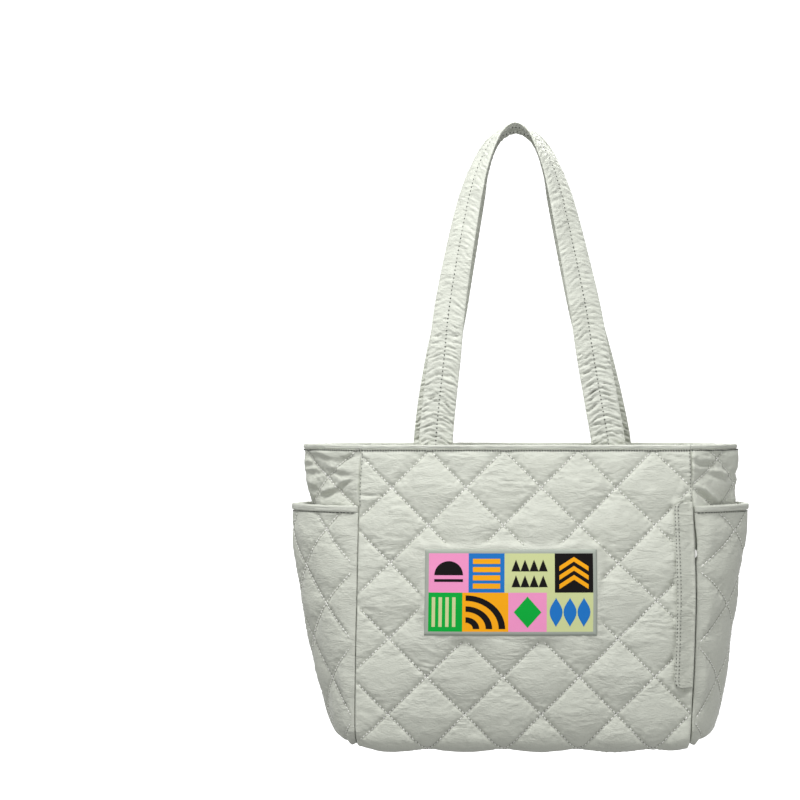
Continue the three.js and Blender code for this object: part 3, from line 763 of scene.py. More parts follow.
def panel_skin(face):
    def skin(across, down, outside):
        rise, slip_across, slip_down = panel_rise(face, across, down)
        outer_across = np.clip(across + slip_across, -HALF_PANEL, HALF_PANEL)
        outer = panel_surface(face, outer_across, down + slip_down)
        outer = outer + panel_normal(face, outer_across, down) * rise[..., None]
        inner = panel_surface(face, across, down) - panel_outward(face, across, down) * WALL_INNER
        return np.where(outside[..., None], outer, inner)
    return skin


def panel(name, face):
    lattice = LATTICES[name]
    steps = 2 * HALF_DIAMOND_STEPS[name]
    columns = along_quilting(-HALF_PANEL, HALF_PANEL, lattice.column, lattice.across / steps)
    rows = along_quilting(WALL_TOP - SEWN_GAP, WRAP_END, lattice.row, lattice.down / steps)
    return wall(f"{name}_panel_quilt", columns, rows, panel_skin(face))


FOLD_SEED = 70
FOLD_WANDER = 0.006
RIDGE_SHARE = 0.55


def side_folds(side, across, down):
    """The folds in SIDE_FOLDS, each a valley with a soft ridge over it."""
    height = 1 - down / BODY_HEIGHT
    total = 0
    for k, fold_side in enumerate(SIDE_FOLDS["side"]):
        if fold_side != side:
            continue
        fold = {name: column[k] for name, column in SIDE_FOLDS.items()}
        sideways = across / GUSSET_WIDTH - fold["place"]
        wander = FOLD_WANDER * noise(across / 14, down / 30, FOLD_SEED + k)
        upward = height - fold["height"] - fold["drop"] * sideways / fold["reach"] + wander
        along = np.exp(-((sideways / fold["reach"]) ** 2))
        valley = np.exp(-((upward / fold["width"]) ** 2))
        ridge = np.exp(-(((upward - 1.5 * fold["width"]) / fold["width"]) ** 2))
        total = total + fold["depth"] * along * (valley - RIDGE_SHARE * ridge)
    return total


GUSSET_BELLY = 1.8
HIDDEN_DROP = 0.6  # how much lower a gusset lies behind its pocket


def gusset_rise(side, across, down):
    """The height of a gusset's outside over its seam surface. Its padding ends just behind the
    pocket's top, where it no longer shows."""
    seam = np.minimum(across, GUSSET_WIDTH - across)
    name = f"gusset_{hand_name(side)}"
    lift, _, _ = quilted(name, across, down)
    seed = LATTICES[name].seed
    detail = stitch_pull(name, across, down, seed) + side_folds(side, across, down)
    detail = detail + 0.8 * crinkle(across, down, seed, 22, 6)
    rise = (GUSSET_RISE * lift + detail - 1) * edge_rise(seam, down) + GUSSET_BELLY * swell(seam, 24)
    behind = np.clip((down - POCKET_TOP - 2) / 6, 0, 1)
    return rise * (1 - behind) - HIDDEN_DROP * behind


def gusset_skin(side):
    def skin(across, down, outside):
        rise = gusset_rise(side, across, down)
        surface = gusset_surface(side, across, down)
        outer = surface + gusset_normal(side, across, down) * rise[..., None]
        inner = surface - gusset_outward(side, across, down) * WALL_INNER
        return np.where(outside[..., None], outer, inner)
    return skin


def gusset(name, side):
    columns = spaced(0, GUSSET_WIDTH, GUSSET_STEP)
    shown = spaced(WALL_TOP - SEWN_GAP, POCKET_TOP + 12, GUSSET_STEP)
    hidden = spaced(shown[-1], WRAP_END, HIDDEN_STEP)
    return wall(name, columns, np.concatenate([shown, hidden[1:]]), gusset_skin(side))


def base_panel():
    edge = HALF_PANEL - SEWN_GAP
    reach = BASE_DEPTH / 2 - WRAP_RADIUS

    def skin(across, y, outside):
        seam = np.minimum(edge - np.abs(across), reach - np.abs(y))
        rise = (PANEL_PROUD + PAD_RISE) * 0.8 * swell(seam, 14) + 0.3 * crinkle(across, y, 131, 17, 5.5)
        x = across / HALF_PANEL * half_width(across, 0 * across)
        drop = np.where(outside, rise * swell(seam, 3), -WALL_INNER)
        return points(x, y, -BODY_HEIGHT - drop)

    columns, rows = spaced(-edge, edge, BASE_STEP), spaced(-reach, reach, BASE_STEP)
    return wall("base_panel_cloth", columns, rows, skin)


# Side pockets, drawn up to their seams but for the open zip's gap at the right front
def pocket_edges(side):
    return (OPEN_INSET if side > 0 else SEAM_INSET), GUSSET_WIDTH - SEAM_INSET


POCKET_DRAW = 14  # how far from its seams a pocket is still drawn in to them
POCKET_BELLY = 1.4
FOLD_SHARE = 0.6  # how far the padding evens out along a pocket's outermost line


def pocket_rise(side, across, down):
    """The height of a pocket's outside over its inside."""
    first, last = pocket_edges(side)
    seam = np.minimum(across - first, last - across)
    top = down - POCKET_TOP - POCKET_HEM
    foot = WRAP_END - POCKET_INSET - down
    name = f"pocket_{hand_name(side)}"
    lift, _, _ = quilted(name, across, down)
    seed = LATTICES[name].seed
    outer = FOLD_SHARE * hump(across - GUSSET_WIDTH / 2, 0, 26, 1)
    lift = lift * (1 - outer) + 0.75 * outer
    detail = stitch_pull(name, across, down, seed, 2) + 0.55 * crinkle(across, down, seed, 19, 6)
    drawn = ease(seam / POCKET_DRAW)
    rounding = swell(top + 1.5, TOP_REACH) * swell(foot, FOOT_REACH) * drawn
    full = 0.75 * PAD_RISE * lift * (0.7 + 0.3 * ease(top / 25))
    belly = POCKET_BELLY * swell(seam, 26) * swell(foot, 20) * ease(top / 40)
    return POCKET_EDGE + (POCKET_WALL - POCKET_EDGE) * drawn + (full + detail) * rounding + belly


def pocket_skin(side):
    def skin(across, down, outside):
        rise = np.where(outside, pocket_rise(side, across, down), 0)
        if side > 0:
            beside_pull = hump(0, down - COVER_TOP - PULL_DROP + 6, 1, 14)
            across = across + PULL_GAPE * beside_pull * np.clip(1 - across / 9, 0, 1)
        return pocket_inside(side, across, down) + gusset_normal(side, across, down) * rise[..., None]
    return skin


def side_pocket(name, side):
    columns = spaced(*pocket_edges(side), POCKET_STEP)
    rows = spaced(POCKET_TOP + POCKET_HEM, WRAP_END - POCKET_INSET, POCKET_STEP)
    return wall(name, columns, rows, pocket_skin(side))


# Hems
HEM_SQUARENESS = 0.55  # 1 is round, less is squarer
HEM_DRAW = 7  # how far from its ends a hem is drawn thinner


def hem(name, along, foot, outward, inside, outside, height, seed, drawn=0.0):
    """A rolled hem: softly puckered, fuller between its stitches, drawn thinner at its ends."""
    feet, out = foot(along), outward(along)
    out[..., 2] = 0

    def place(turn, step):
        angle = 2 * math.pi * turn
        at = along[step]
        c, s = np.cos(angle), np.sin(angle)
        full = 1 + 0.1 * noise(at / 6.5, 2 * turn, seed) + 0.07 * noise(at / 3, 3 * turn, seed + 1)
        ends = 1 - drawn * (1 - ease(np.minimum(at - along[0], along[-1] - at) / HEM_DRAW))
        c = np.sign(c) * np.abs(c) ** HEM_SQUARENESS
        s = np.sign(s) * np.abs(s) ** HEM_SQUARENESS
        wide = (c * full + 1) * (inside + outside) / 2 * ends
        tall = s * height / 2 * np.where(s > 0, full, 1)
        places = feet[step] + out[step] * (wide - inside)[..., None]
        places[..., 2] = feet[step][..., 2] + height / 2 + tall
        return places, at, turn * 2 * (inside + outside + height)

    return roll(name, HEM_SIDES, along, place)


def rim_hem(name, start, end, surface, outward, seed):
    """One stretch of the rim's hem, on the wall that surface and outward(across, down) give."""
    def foot(at):
        places = surface(at, 0 * at)
        places[..., 2] = -HEM_HEIGHT
        return places

    return hem(
        name, spaced(start, end, HEM_STEP), foot, lambda at: outward(at, 0 * at),
        HEM_INSIDE, RIM_OUTSIDE, HEM_HEIGHT, seed,
    )


def pocket_hem(name, side, seed):
    along = spaced(*pocket_edges(side), HEM_STEP)
    down = POCKET_TOP + POCKET_HEM
    return hem(
        name, along,
        lambda at: pocket_inside(side, at, down + 0 * at),
        lambda at: gusset_normal(side, at, down + 0 * at),
        0, POCKET_WALL + HEM_OUTSIDE, POCKET_HEM, seed, 0.7,
    )


# Handles
def smooth_line(knots, step):
    """Evenly spaced points on a smooth curve through the knots."""
    ends = [2 * knots[0] - knots[1], *knots, 2 * knots[-1] - knots[-2]]
    dense = []
    for k in range(len(knots) - 1):
        a, b, c, d = ends[k:k + 4]
        gaps = [math.sqrt(np.linalg.norm(q - p)) for p, q in ((a, b), (b, c), (c, d))]
        t0, t1 = 0.0, gaps[0]
        t2, t3 = t1 + gaps[1], t1 + gaps[1] + gaps[2]
        t = np.linspace(t1, t2, 24, endpoint=False)[:, None]
        ab = ((t1 - t) * a + (t - t0) * b) / (t1 - t0)
        bc = ((t2 - t) * b + (t - t1) * c) / (t2 - t1)
        cd = ((t3 - t) * c + (t - t2) * d) / (t3 - t2)
        abc = ((t2 - t) * ab + (t - t0) * bc) / (t2 - t0)
        bcd = ((t3 - t) * bc + (t - t1) * cd) / (t3 - t1)
        dense.append(((t2 - t) * abc + (t - t1) * bcd) / (t2 - t1))
    dense = np.vstack([*dense, knots[-1:]])
    length = np.concatenate([[0], np.cumsum(np.linalg.norm(np.diff(dense, axis=0), axis=1))])
    at = spaced(0, length[-1], step)
    return np.stack([np.interp(at, length, dense[:, axis]) for axis in range(3)], axis=-1), at


PUCKERED = 1.16  # how much thicker its puckers make a band where it is sewn on


def handle_line(face, spread):
    """The middle line of a handle from its left end over the crown to its right end."""
    reach = HANDLE_THICKNESS / 2 * PUCKERED + SEWN_GAP

    def wall_y(down, inside):
        surface = panel_surface(face, np.array(spread / 2), np.array(float(down)))
        return surface[1] - face * (inside + reach)

    foot_y = wall_y(0, HEM_INSIDE)
    crown_y = face * (HANDLE_WIDTH / 2 + SEWN_GAP)
    rise = HANDLE["rise"]
    apart = HANDLE[face_name(face)]

    def leg(hand):
        drift = END_OFFSET + (CROWN_OFFSET - END_OFFSET) * rise * (2 - rise)
        legs = points(hand * apart * spread / 2 + drift, foot_y + (crown_y - foot_y) * rise,
                      CROWN_HEIGHT * rise)
        foot_x = hand * spread / 2 + END_OFFSET
        ends = np.array([
            [foot_x, wall_y(END_DEPTH, WALL_INNER), -END_DEPTH],
            [foot_x, foot_y, -2 * HEM_HEIGHT],
        ])
        return np.vstack([ends, legs])

    return smooth_line(np.vstack([leg(-1), leg(1)[::-1][1:]]), BAND_STEP)


def handle_frame(face, middle):
    """For each point of a handle's middle line, the way its band faces and its sideways."""
    along = unit(np.gradient(middle, axis=0))
    outward = -np.cross(np.array([0, 1.0, 0]), along)
    outward[:, 1] = 0
    outward = unit(outward)
    turn = np.radians(read(HANDLE, "turn", middle[:, 2] / CROWN_HEIGHT, "rise"))[:, None]
    facing = np.array([0, face, 0]) * np.cos(turn) + outward * np.sin(turn)
    facing = unit(facing - along * (facing * along).sum(-1, keepdims=True))
    return facing, unit(np.cross(facing, along))


GATHER_SLANT = 11  # how far a pucker falls from the middle stitching to its edge
CROWN_SPAN = 34
BAND_HALF = HANDLE_WIDTH / 2 + 0.5  # the puckers make the band a little wider than its solid
# Puckers of a band: the pitch and height of the broad and the narrow ones, and how much more and
# from how far up they gather towards its ends
BROAD_PUCKER = (7.2, 1.5)
NARROW_PUCKER = (4.5, 1.4)
END_GATHER = 2.4
GATHER_REACH = 190
MIDDLE_SEAM = 0.09  # half width of the stitched groove down the middle, as a share
SEAM_PRESS = 0.5  # how much of its thickness the band loses there


def gathers(at, share, pitch, seed):
    """Ruched cloth: puckers with sharp valleys, none alike, fading in and out along the band."""
    wander = 0.55 * pitch * noise(at / (2.6 * pitch), 1.6 * share, seed)
    ridge = np.abs(np.sin(math.pi * (at + wander) / pitch)) ** 0.55
    vary = 0.6 + 0.75 * noise(at / (1.7 * pitch), 2.2 * share, seed + 1)
    return (ridge - 0.7) * vary


def band_point(line, at, share, side, seed):
    """A point of a band's cloth: share runs across it from -1 to 1, side is 1 outside, -1 inside.
    line holds the band's lengths, its middle, and the ways it faces and lies."""
    lengths, middle, facing, sideways = line
    here = [np.stack([np.interp(at, lengths, part[:, axis]) for axis in range(3)], axis=-1)
            for part in (middle, facing, sideways)]
    length = lengths[-1]
    from_crown = (at - length / 2) / CROWN_SPAN
    slant = GATHER_SLANT * np.abs(share) ** 0.8 * np.clip(from_crown, -1, 1)
    thin = 1 - 0.3 * np.exp(-(from_crown ** 2))
    ends = np.clip(np.minimum(at, length - at) / 20, 0, 1)
    round_off = np.sqrt(np.maximum(1 - np.abs(share) ** 3.4, 0))
    half = share + 3 * (side > 0)
    foot = 1 + END_GATHER * np.clip(1 - np.minimum(at, length - at) / GATHER_REACH, 0, 1)
    broad = BROAD_PUCKER[1] * gathers(at - slant, half, BROAD_PUCKER[0], seed)
    narrow = NARROW_PUCKER[1] * gathers(at - slant, half, NARROW_PUCKER[0], seed + 7)
    pucker = foot * (broad + narrow)
    buckle = np.where(side < 0, 0.9 * np.cos(3.4 * math.pi * share) * np.exp(-(from_crown ** 2)), 0)
    full = 1 - SEAM_PRESS * np.exp(-((share / MIDDLE_SEAM) ** 2))
    thick = (HANDLE_THICKNESS / 2 * thin + pucker * ends) * full + buckle
    wide = BAND_HALF * share * (1 + 0.03 * gathers(at, share, 6.3, seed + 5) * ends)
    return here[0] + here[2] * wide[..., None] + here[1] * (side * thick * round_off)[..., None]


def handle(name, face, spread, seed):
    middle, lengths = handle_line(face, spread)
    facing, sideways = handle_frame(face, middle)
    line = (lengths, middle, facing, sideways)

    def place(turn, step):
        angle = 2 * math.pi * turn
        share = np.sign(np.cos(angle)) * np.abs(np.cos(angle)) ** 0.75
        at = lengths[step]
        return band_point(line, at, share, np.sign(np.sin(angle)), seed), HANDLE_WIDTH / 2 * share, at

    return roll(name, BAND_SIDES, lengths, place), line


def band_stitches(name, line, seed, pitch, length, radius, side):
    """The row of stitching down the middle of a band, outside (side 1) or inside (side -1)."""
    lengths, _, facing, _ = line
    at = np.arange(END_DEPTH, lengths[-1] - END_DEPTH, pitch)
    ends = [band_point(line, at + shift, 0 * at, side * np.ones_like(at), seed)
            for shift in (0, length)]
    face = side * np.stack([np.interp(at, lengths, facing[:, axis]) for axis in range(3)], axis=-1)
    return stitches(name, ends[0] + face * SUNK_LIFT, ends[1] + face * SUNK_LIFT, face, radius)


# The zip pocket in the right-hand seam
ZIP_RISE = PANEL_PROUD + SEWN_GAP
FLAP_RISE = ZIP_RISE + ZIP_THICKNESS + SEWN_GAP
ZIP_RIGHT = COVER_RIGHT - PULL_WIDTH + PULL_SHOWS


def front_point(across, down, rise):
    normal = panel_normal(-1, across, down)
    return panel_surface(-1, across, down) + normal * np.asarray(rise)[..., None]


def cover_rise(across, down):
    """The cover lies on the padding along its sewn edge and falls to the zip beside the seam."""
    fall = ramp(across, COVER_LEFT + 3, COVER_LEFT + 17)
    lifted = 1.8 * ramp(down, COVER_TOP + 25, COVER_TOP + 85)
    sewn = PANEL_PROUD + PAD_RISE * COVER_SEAT + 0.2 + lifted
    return sewn + (FLAP_RISE - sewn) * fall + 0.3 * np.abs(noise(across / 15, down / 16, 151)) * fall


COVER_ROWS = (1.0, 4.1)  # the two rows of topstitching, from the cover's sewn edge


def cover_skin(across, down, outside):
    """A strip folded double along its sewn edge, with a bead along the free one."""
    end = np.minimum(down - COVER_TOP, COVER_BOTTOM - down)
    cut = COVER_CORNER * (1 - swell(end, COVER_CORNER))
    place = across + cut * (COVER_RIGHT - across) / COVER_WIDTH
    left, right = across - COVER_LEFT, COVER_RIGHT - across
    edge = swell(np.minimum(np.minimum(left, right), end), 1.8)
    groove = sum(hump(left - inset, 0, 0.7, 1) for inset in COVER_ROWS)
    folded = 1 / (1 + np.exp((left - COVER_ROWS[1] - 0.6) / 0.35))
    bead = hump(right - 1.4, 0, 1.1, 1)
    full = COVER_THICKNESS * (0.4 + 0.28 * edge + 0.4 * folded) - 0.7 * groove + 0.5 * bead
    full = full + 0.6 * crinkle(across, down, 155, 15, 7) * edge
    under = cover_rise(across, down)
    return front_point(place, down, np.where(outside, under + full, under))


def zip_cover():
    columns = spaced(COVER_LEFT, COVER_RIGHT, COVER_STEPS[0])
    rows = spaced(COVER_TOP, COVER_BOTTOM, COVER_STEPS[1])
    return wall("zip_cover_cloth", columns, rows, cover_skin)


TAPE_THICKNESS = 0.75
COIL_PITCH = 1.5
COIL_HEIGHT = 0.5
COIL_WIDTH = 2.4


def pocket_zip():
    """The zip's tape, with its coil along the edge beside the seam."""
    def skin(across, down, outside):
        turns = np.sin(2 * math.pi * down / COIL_PITCH)
        coil = COIL_HEIGHT * turns * np.clip(across - ZIP_RIGHT + COIL_WIDTH, 0, 1)
        return front_point(across, down, ZIP_RISE + np.where(outside, TAPE_THICKNESS + coil, 0))

    columns = spaced(ZIP_RIGHT - ZIP_WIDTH, ZIP_RIGHT - SEWN_GAP, ZIP_STEPS[0])
    rows = spaced(COVER_TOP + COVER_CORNER, COVER_BOTTOM - COVER_CORNER, ZIP_STEPS[1])
    return wall("pocket_zip_coil", columns, rows, skin)


def zip_pull():
    """A flat cast pull with rounded corners and rims."""
    middle = COVER_TOP + PULL_DROP + PULL_LENGTH / 2
    bm = bmesh.new()
    bmesh.ops.create_cube(bm, size=1)
    bmesh.ops.scale(bm, verts=bm.verts[:], vec=(PULL_WIDTH, PULL_LENGTH, ZIP_THICKNESS))
    upright = [e for e in bm.edges if abs(e.verts[0].co.z - e.verts[1].co.z) > 0.5 * ZIP_THICKNESS]
    bmesh.ops.bevel(
        bm, geom=upright, offset=0.44 * PULL_WIDTH, segments=7, profile=0.5, affect="EDGES", material=-1
    )
    rims = [e for e in bm.edges if abs(e.verts[0].co.z - e.verts[1].co.z) < 0.01]
    bmesh.ops.bevel(bm, geom=rims, offset=0.3, segments=2, profile=0.5, affect="EDGES", material=-1)
    mesh = finished_mesh("zip_pull_tab", bm)
    flat = vertex_places(mesh)
    across = ZIP_RIGHT + PULL_WIDTH / 2 + flat[:, 0]
    inside = np.minimum(across, HALF_PANEL - PROBE)
    places = front_point(inside, middle + flat[:, 1], ZIP_RISE + ZIP_THICKNESS / 2 + flat[:, 2])
    places[:, 0] += across - inside
    return placed("zip_pull_tab", mesh, across, flat[:, 1], places)


# The printed patch: a plain generic design of blocks, discs, stripes and triangles
PATCH_SEAT = PANEL_PROUD + PAD_RISE + 0.25
PATCH_BORDER = 4
INK_STEP = 6
INK_RISE = 0.08
GROUND_SINK = 0.04  # the blocks' ground is printed into the cloth, the motifs on top of it


def patch_rise(across, down):
    """How the patch waves a little and dips to its sewn edge."""
    wave = 0.22 * noise(across / 26, down / 19, 171)
    return wave - 0.15 * (1 - swell(patch_edge(across, down), 4))


def patch_cloth():
    def skin(across, down, outside):
        thick = PATCH_THICKNESS * (0.3 + 0.7 * swell(patch_edge(across, down), 1.0))
        seat = PATCH_SEAT + patch_rise(across, down)
        return front_point(across, down, seat + np.where(outside, thick, 0))

    columns = spaced(PATCH_LEFT, PATCH_LEFT + PATCH_WIDTH, PATCH_STEP)
    rows = spaced(PATCH_TOP, PATCH_TOP + PATCH_HEIGHT, PATCH_STEP)
    return wall("printed_patch_cloth", columns, rows, skin)


# Blocks of the design: places and sizes in millimetres from the top left inside the border
BLOCKS = [
    ("half_disc", 0, 0, 40, 38.5, "pink", "black"),
    ("bars", 40, 0, 36, 38.5, "blue", "orange"),
    ("peaks", 76, 0, 50, 38.5, "pale_green", "black"),
    ("chevrons", 126, 0, 38, 38.5, "black", "orange"),
    ("stripes", 0, 38.5, 34, 38.5, "green", "pale_green"),
    ("quarter_rings", 34, 38.5, 46, 38.5, "orange", "black"),
    ("lozenge", 80, 38.5, 38, 38.5, "pink", "green"),
    ("petals", 118, 38.5, 46, 38.5, "pale_green", "blue"),
]


def ink(kind):
    """Flat shapes of a motif in a unit square, as lists of corner points."""
    def arc(cx, cy, radius, start, end):
        turns = np.radians(np.linspace(start, end, 18))
        return [(cx + radius * math.cos(t), cy + radius * math.sin(t)) for t in turns]

    def bar(left, top, width, height):
        right, foot = left + width, top + height
        return [(left, top), (right, top), (right, foot), (left, foot)]

    if kind == "half_disc":
        return [arc(0.5, 0.56, 0.36, 180, 360), bar(0.14, 0.66, 0.72, 0.07)]
    if kind == "stripes":
        return [bar(x, 0.12, 0.1, 0.76) for x in np.arange(0.1, 0.85, 0.2)]
    if kind == "bars":
        return [bar(0.12, y, 0.76, 0.13) for y in (0.14, 0.35, 0.56, 0.77)]
    if kind == "peaks":
        return [[(x, base), (x + 0.09, base - 0.3), (x + 0.18, base)]
                for base in (0.46, 0.86) for x in np.arange(0.14, 0.8, 0.18)]
    if kind == "chevrons":
        wings = [(0.12, 0), (0.5, -0.24), (0.88, 0), (0.88, 0.12), (0.5, -0.12), (0.12, 0.12)]
        return [[(x, top + y) for x, y in wings] for top in (0.33, 0.56, 0.79)]
    if kind == "quarter_rings":
        return [arc(0.07, 0.93, outer, -90, 0) + arc(0.07, 0.93, inner, 0, -90)
                for outer, inner in ((0.86, 0.72), (0.58, 0.44), (0.3, 0.16))]
    if kind == "petals":
        round_turn = np.linspace(0, 2 * math.pi, 28, endpoint=False)
        return [[(cx + 0.14 * math.sin(t) ** 3, 0.5 - 0.38 * math.cos(t)) for t in round_turn]
                for cx in (0.2, 0.5, 0.8)]
    return [[(0.5, 0.1), (0.86, 0.5), (0.5, 0.9), (0.14, 0.5)]]


def flat_shape(bm, corners, material):
    """Fills an outline in the plane of the patch."""
    ring = [bm.verts.new((x, y, 0)) for x, y in corners]
    face = bm.faces.new(ring)
    face.material_index = material
    bmesh.ops.triangulate(bm, faces=[face])


def slice_shape(bm, left, top, width, height):
    """Cuts a flat shape fine enough to follow the cloth."""
    cuts = [((x, 0, 0), (1, 0, 0)) for x in np.arange(left + INK_STEP, left + width, INK_STEP)]
    cuts += [((0, y, 0), (0, 1, 0)) for y in np.arange(top + INK_STEP, top + height, INK_STEP)]
    for place, normal in cuts:
        bmesh.ops.bisect_plane(
            bm, geom=bm.verts[:] + bm.edges[:] + bm.faces[:], plane_co=place, plane_no=normal
        )


INKS = ["pink", "black", "green", "pale_green", "blue", "orange"]


def print_layer(name, blocks, rise):
    """One printed layer of the patch, each shape in its ink."""
    bm = bmesh.new()
    for left, top, width, height, corners, colour in blocks:
        part = bmesh.new()
        outline = [(left + x * width, top + y * height) for x, y in corners]
        flat_shape(part, outline, INKS.index(colour))
        slice_shape(part, left, top, width, height)
        scratch = finished_mesh("scratch", part)
        bm.from_mesh(scratch)
        bpy.data.meshes.remove(scratch)
    thicken(bm, INK_RISE)
    mesh = finished_mesh(name, bm)
    flat = vertex_places(mesh)
    across = PATCH_LEFT + PATCH_BORDER + flat[:, 0]
    down = PATCH_TOP + PATCH_BORDER + flat[:, 1]
    seat = PATCH_SEAT + patch_rise(across, down) + PATCH_THICKNESS + rise
    layer = placed(name, mesh, across, down, front_point(across, down, seat + flat[:, 2]))
    layer.data.shade_flat()
    return layer


def patch_print():
    square = [(0, 0), (1, 0), (1, 1), (0, 1)]
    grounds = [(left, top, width, height, square, ground)
               for _, left, top, width, height, ground, _ in BLOCKS]
    motifs = [(left, top, width, height, corners, colour)
              for kind, left, top, width, height, _, colour in BLOCKS for corners in ink(kind)]
    return [
        print_layer("patch_grounds", grounds, -GROUND_SINK),
        print_layer("patch_motifs", motifs, INK_RISE),
    ]


# Stitches. The threads are drawn coarser than real ones, so that they show. How far they stand off
# the cloth is larger where the cloth's own curve would swallow them.
STITCH_PITCH = 4.1
STITCH_LENGTH = 2.9
STITCH_SEED = 201
STITCH_PROBE = 0.8
THREAD_RADIUS = 0.52
THREAD_LIFT = {"panel": 0.9, "gusset": 1.3, "pocket": 1.4}
HOLE_RADIUS = 0.5
HOLE_LIFT = 0.35
SUNK_LIFT = 0.3
RIM_LINE_RADIUS = 1.0
BAND_HOLE_RADIUS = 0.8
LINES_EACH_WAY = 12  # more lines of quilting than any piece has to each side of its crossing
STITCH_JITTER = 0.12
# Pitch and length of the stitches in each kind of row
RIM_ROW = (2.7, 2.5)
POCKET_HEM_ROW = (3.3, 2.9)
SIDE_SEAM_ROW = (3.9, 1.6)
COVER_ROW = (3.7, 1.6)
BAND_ROW = (4.2, 1.5)
SEAM_ROW_INSET = 1.6  # of the rows beside the side seams
HIDES_STITCHES = 0.4  # how strongly the patch or the cover presses where it hides the stitches


def stitch_template():
    bm = bmesh.new()
    bmesh.ops.create_uvsphere(bm, u_segments=5, v_segments=3, radius=1)
    mesh = finished_mesh("stitch", bm)
    shape = vertex_places(mesh)
    faces = [list(face.vertices) for face in mesh.polygons]
    bpy.data.meshes.remove(mesh)
    return shape, faces


def stitches(name, starts, ends, facing, radius):
    """Short rounded stitches from starts to ends, lying on cloth that faces the given way."""
    shape, faces = stitch_template()
    middle = (starts + ends) / 2
    along = (ends - starts) / 2
    sideways = unit(np.cross(along, facing)) * radius
    upward = unit(np.cross(sideways, along)) * radius * 0.8
    places = (
        middle[:, None] + shape[None, :, 2:3] * along[:, None]
        + shape[None, :, 0:1] * sideways[:, None] + shape[None, :, 1:2] * upward[:, None]
    ).reshape(-1, 3)
    count = len(shape)
    every = [[v + k * count for v in face] for k in range(len(starts)) for face in faces]
    mesh = bpy.data.meshes.new(name)
    mesh.from_pydata(in_metres(places), [], every)
    if mesh_volume(mesh) < 0:
        mesh.flip_normals()
    mesh.shade_smooth()
    return in_scene(name, mesh)


def lattice_stitches(name, low, high):
    """Starts and ends of the stitches on both families of quilting lines inside a stretch of
    cloth. low and high are its corners as (across, down)."""
    rng = np.random.default_rng(STITCH_SEED)
    reach = LINES_EACH_WAY * DIAMOND_SIDE
    along = np.arange(-reach, reach, STITCH_PITCH) / DIAMOND_SIDE
    half = STITCH_LENGTH / 2 / DIAMOND_SIDE
    found = []
    for family in (1, -1):
        for line in range(-LINES_EACH_WAY, LINES_EACH_WAY + 1):
            jitter = rng.uniform(-STITCH_JITTER, STITCH_JITTER, (2, len(along))) / DIAMOND_SIDE
            ends = []
            for shift in (-half, half):
                other = along + shift + jitter[0]
                a, b = (line, other) if family > 0 else (other, line)
                across, down = cloth_place(name, (a + b) / 2, (a - b) / 2)
                ends.append(np.stack(np.broadcast_arrays(across, down), axis=-1))
            pair = np.stack(ends, axis=1)
            inside = ((pair > low) & (pair < high)).all(axis=(1, 2))
            found.append(pair[inside])
    return np.vstack(found)


def laid_stitches(name, pairs, lay, radius, lift):
    """Lays pairs of (across, down) ends on a skin: lay(across, down, outside) places them."""
    across, down = pairs[..., 0].ravel(), pairs[..., 1].ravel()
    outside = np.ones(len(across), bool)
    step = STITCH_PROBE
    on_cloth = lay(across, down, outside)
    sideways = lay(across + step, down, outside) - lay(across - step, down, outside)
    below = lay(across, down + step, outside) - lay(across, down - step, outside)
    facing = unit(np.cross(sideways, below))
    through = on_cloth - lay(across, down, ~outside)
    facing = facing * np.sign((through * facing).sum(-1, keepdims=True))
    raised = (on_cloth + facing * lift).reshape(-1, 2, 3)
    facing = facing.reshape(-1, 2, 3)[:, 0]
    return stitches(name, raised[:, 0], raised[:, 1], facing, radius)


def needle_holes(pairs):
    """The short gaps after the stitches, where the needle drew the cloth down. They are drawn as grey
    dots, painted shade for the shadow in the holes.
    """
    along = pairs[:, 1] - pairs[:, 0]
    gap = STITCH_PITCH / STITCH_LENGTH - 1
    return np.stack([pairs[:, 1] + share * gap * along for share in (0.05, 0.95)], axis=1)


def row_of_stitches(start, end, place, pitch, length, upright=True):
    """A row of topstitching down the cloth at one place across it, or the other way round."""
    at = spaced(start, end - length, pitch)
    first = np.stack([np.full_like(at, place), at], axis=-1)
    last = np.stack([np.full_like(at, place), at + length], axis=-1)
    pairs = np.stack([first, last], axis=1)
    return pairs if upright else pairs[..., ::-1]


# Materials. Patterns are sized in millimetres, and the cloth's UV map and Object coordinates are
# metres.
def per_metre(size):
    """The scale of a noise with features of a size in millimetres."""
    return 1 / (size * MM)


def ribs_per_metre(spacing):
    """The scale of a wave texture, whose bands repeat every 0.1 pi at scale 1."""
    return 0.1 * math.pi / (spacing * MM)


def linear(code):
    """An sRGB hex colour as linear red, green, blue and alpha."""
    parts = [(code >> shift & 255) / 255 for shift in (16, 8, 0)]
    bright = [c / 12.92 if c <= 0.04045 else ((c + 0.055) / 1.055) ** 2.4 for c in parts]
    return (*bright, 1.0)


def add(tree, kind, inputs=None, **settings):
    """Adds a node with its settings; inputs are values or other nodes' outputs by socket."""
    made = tree.nodes.new(kind)
    for name, value in settings.items():
        setattr(made, name, value)
    for name, value in (inputs or {}).items():
        socket = made.inputs[name]
        if isinstance(value, bpy.types.NodeSocket):
            tree.links.new(value, socket)
        else:
            socket.default_value = value
    return made


def fresh_material(name, **sockets):
    """A new material with its surface shader's fixed values set."""
    material = bpy.data.materials.new(name)
    material.use_nodes = True
    shader = material.node_tree.nodes["Principled BSDF"]
    for socket, value in sockets.items():
        shader.inputs[socket.replace("_", " ")].default_value = value
    return material, material.node_tree, shader


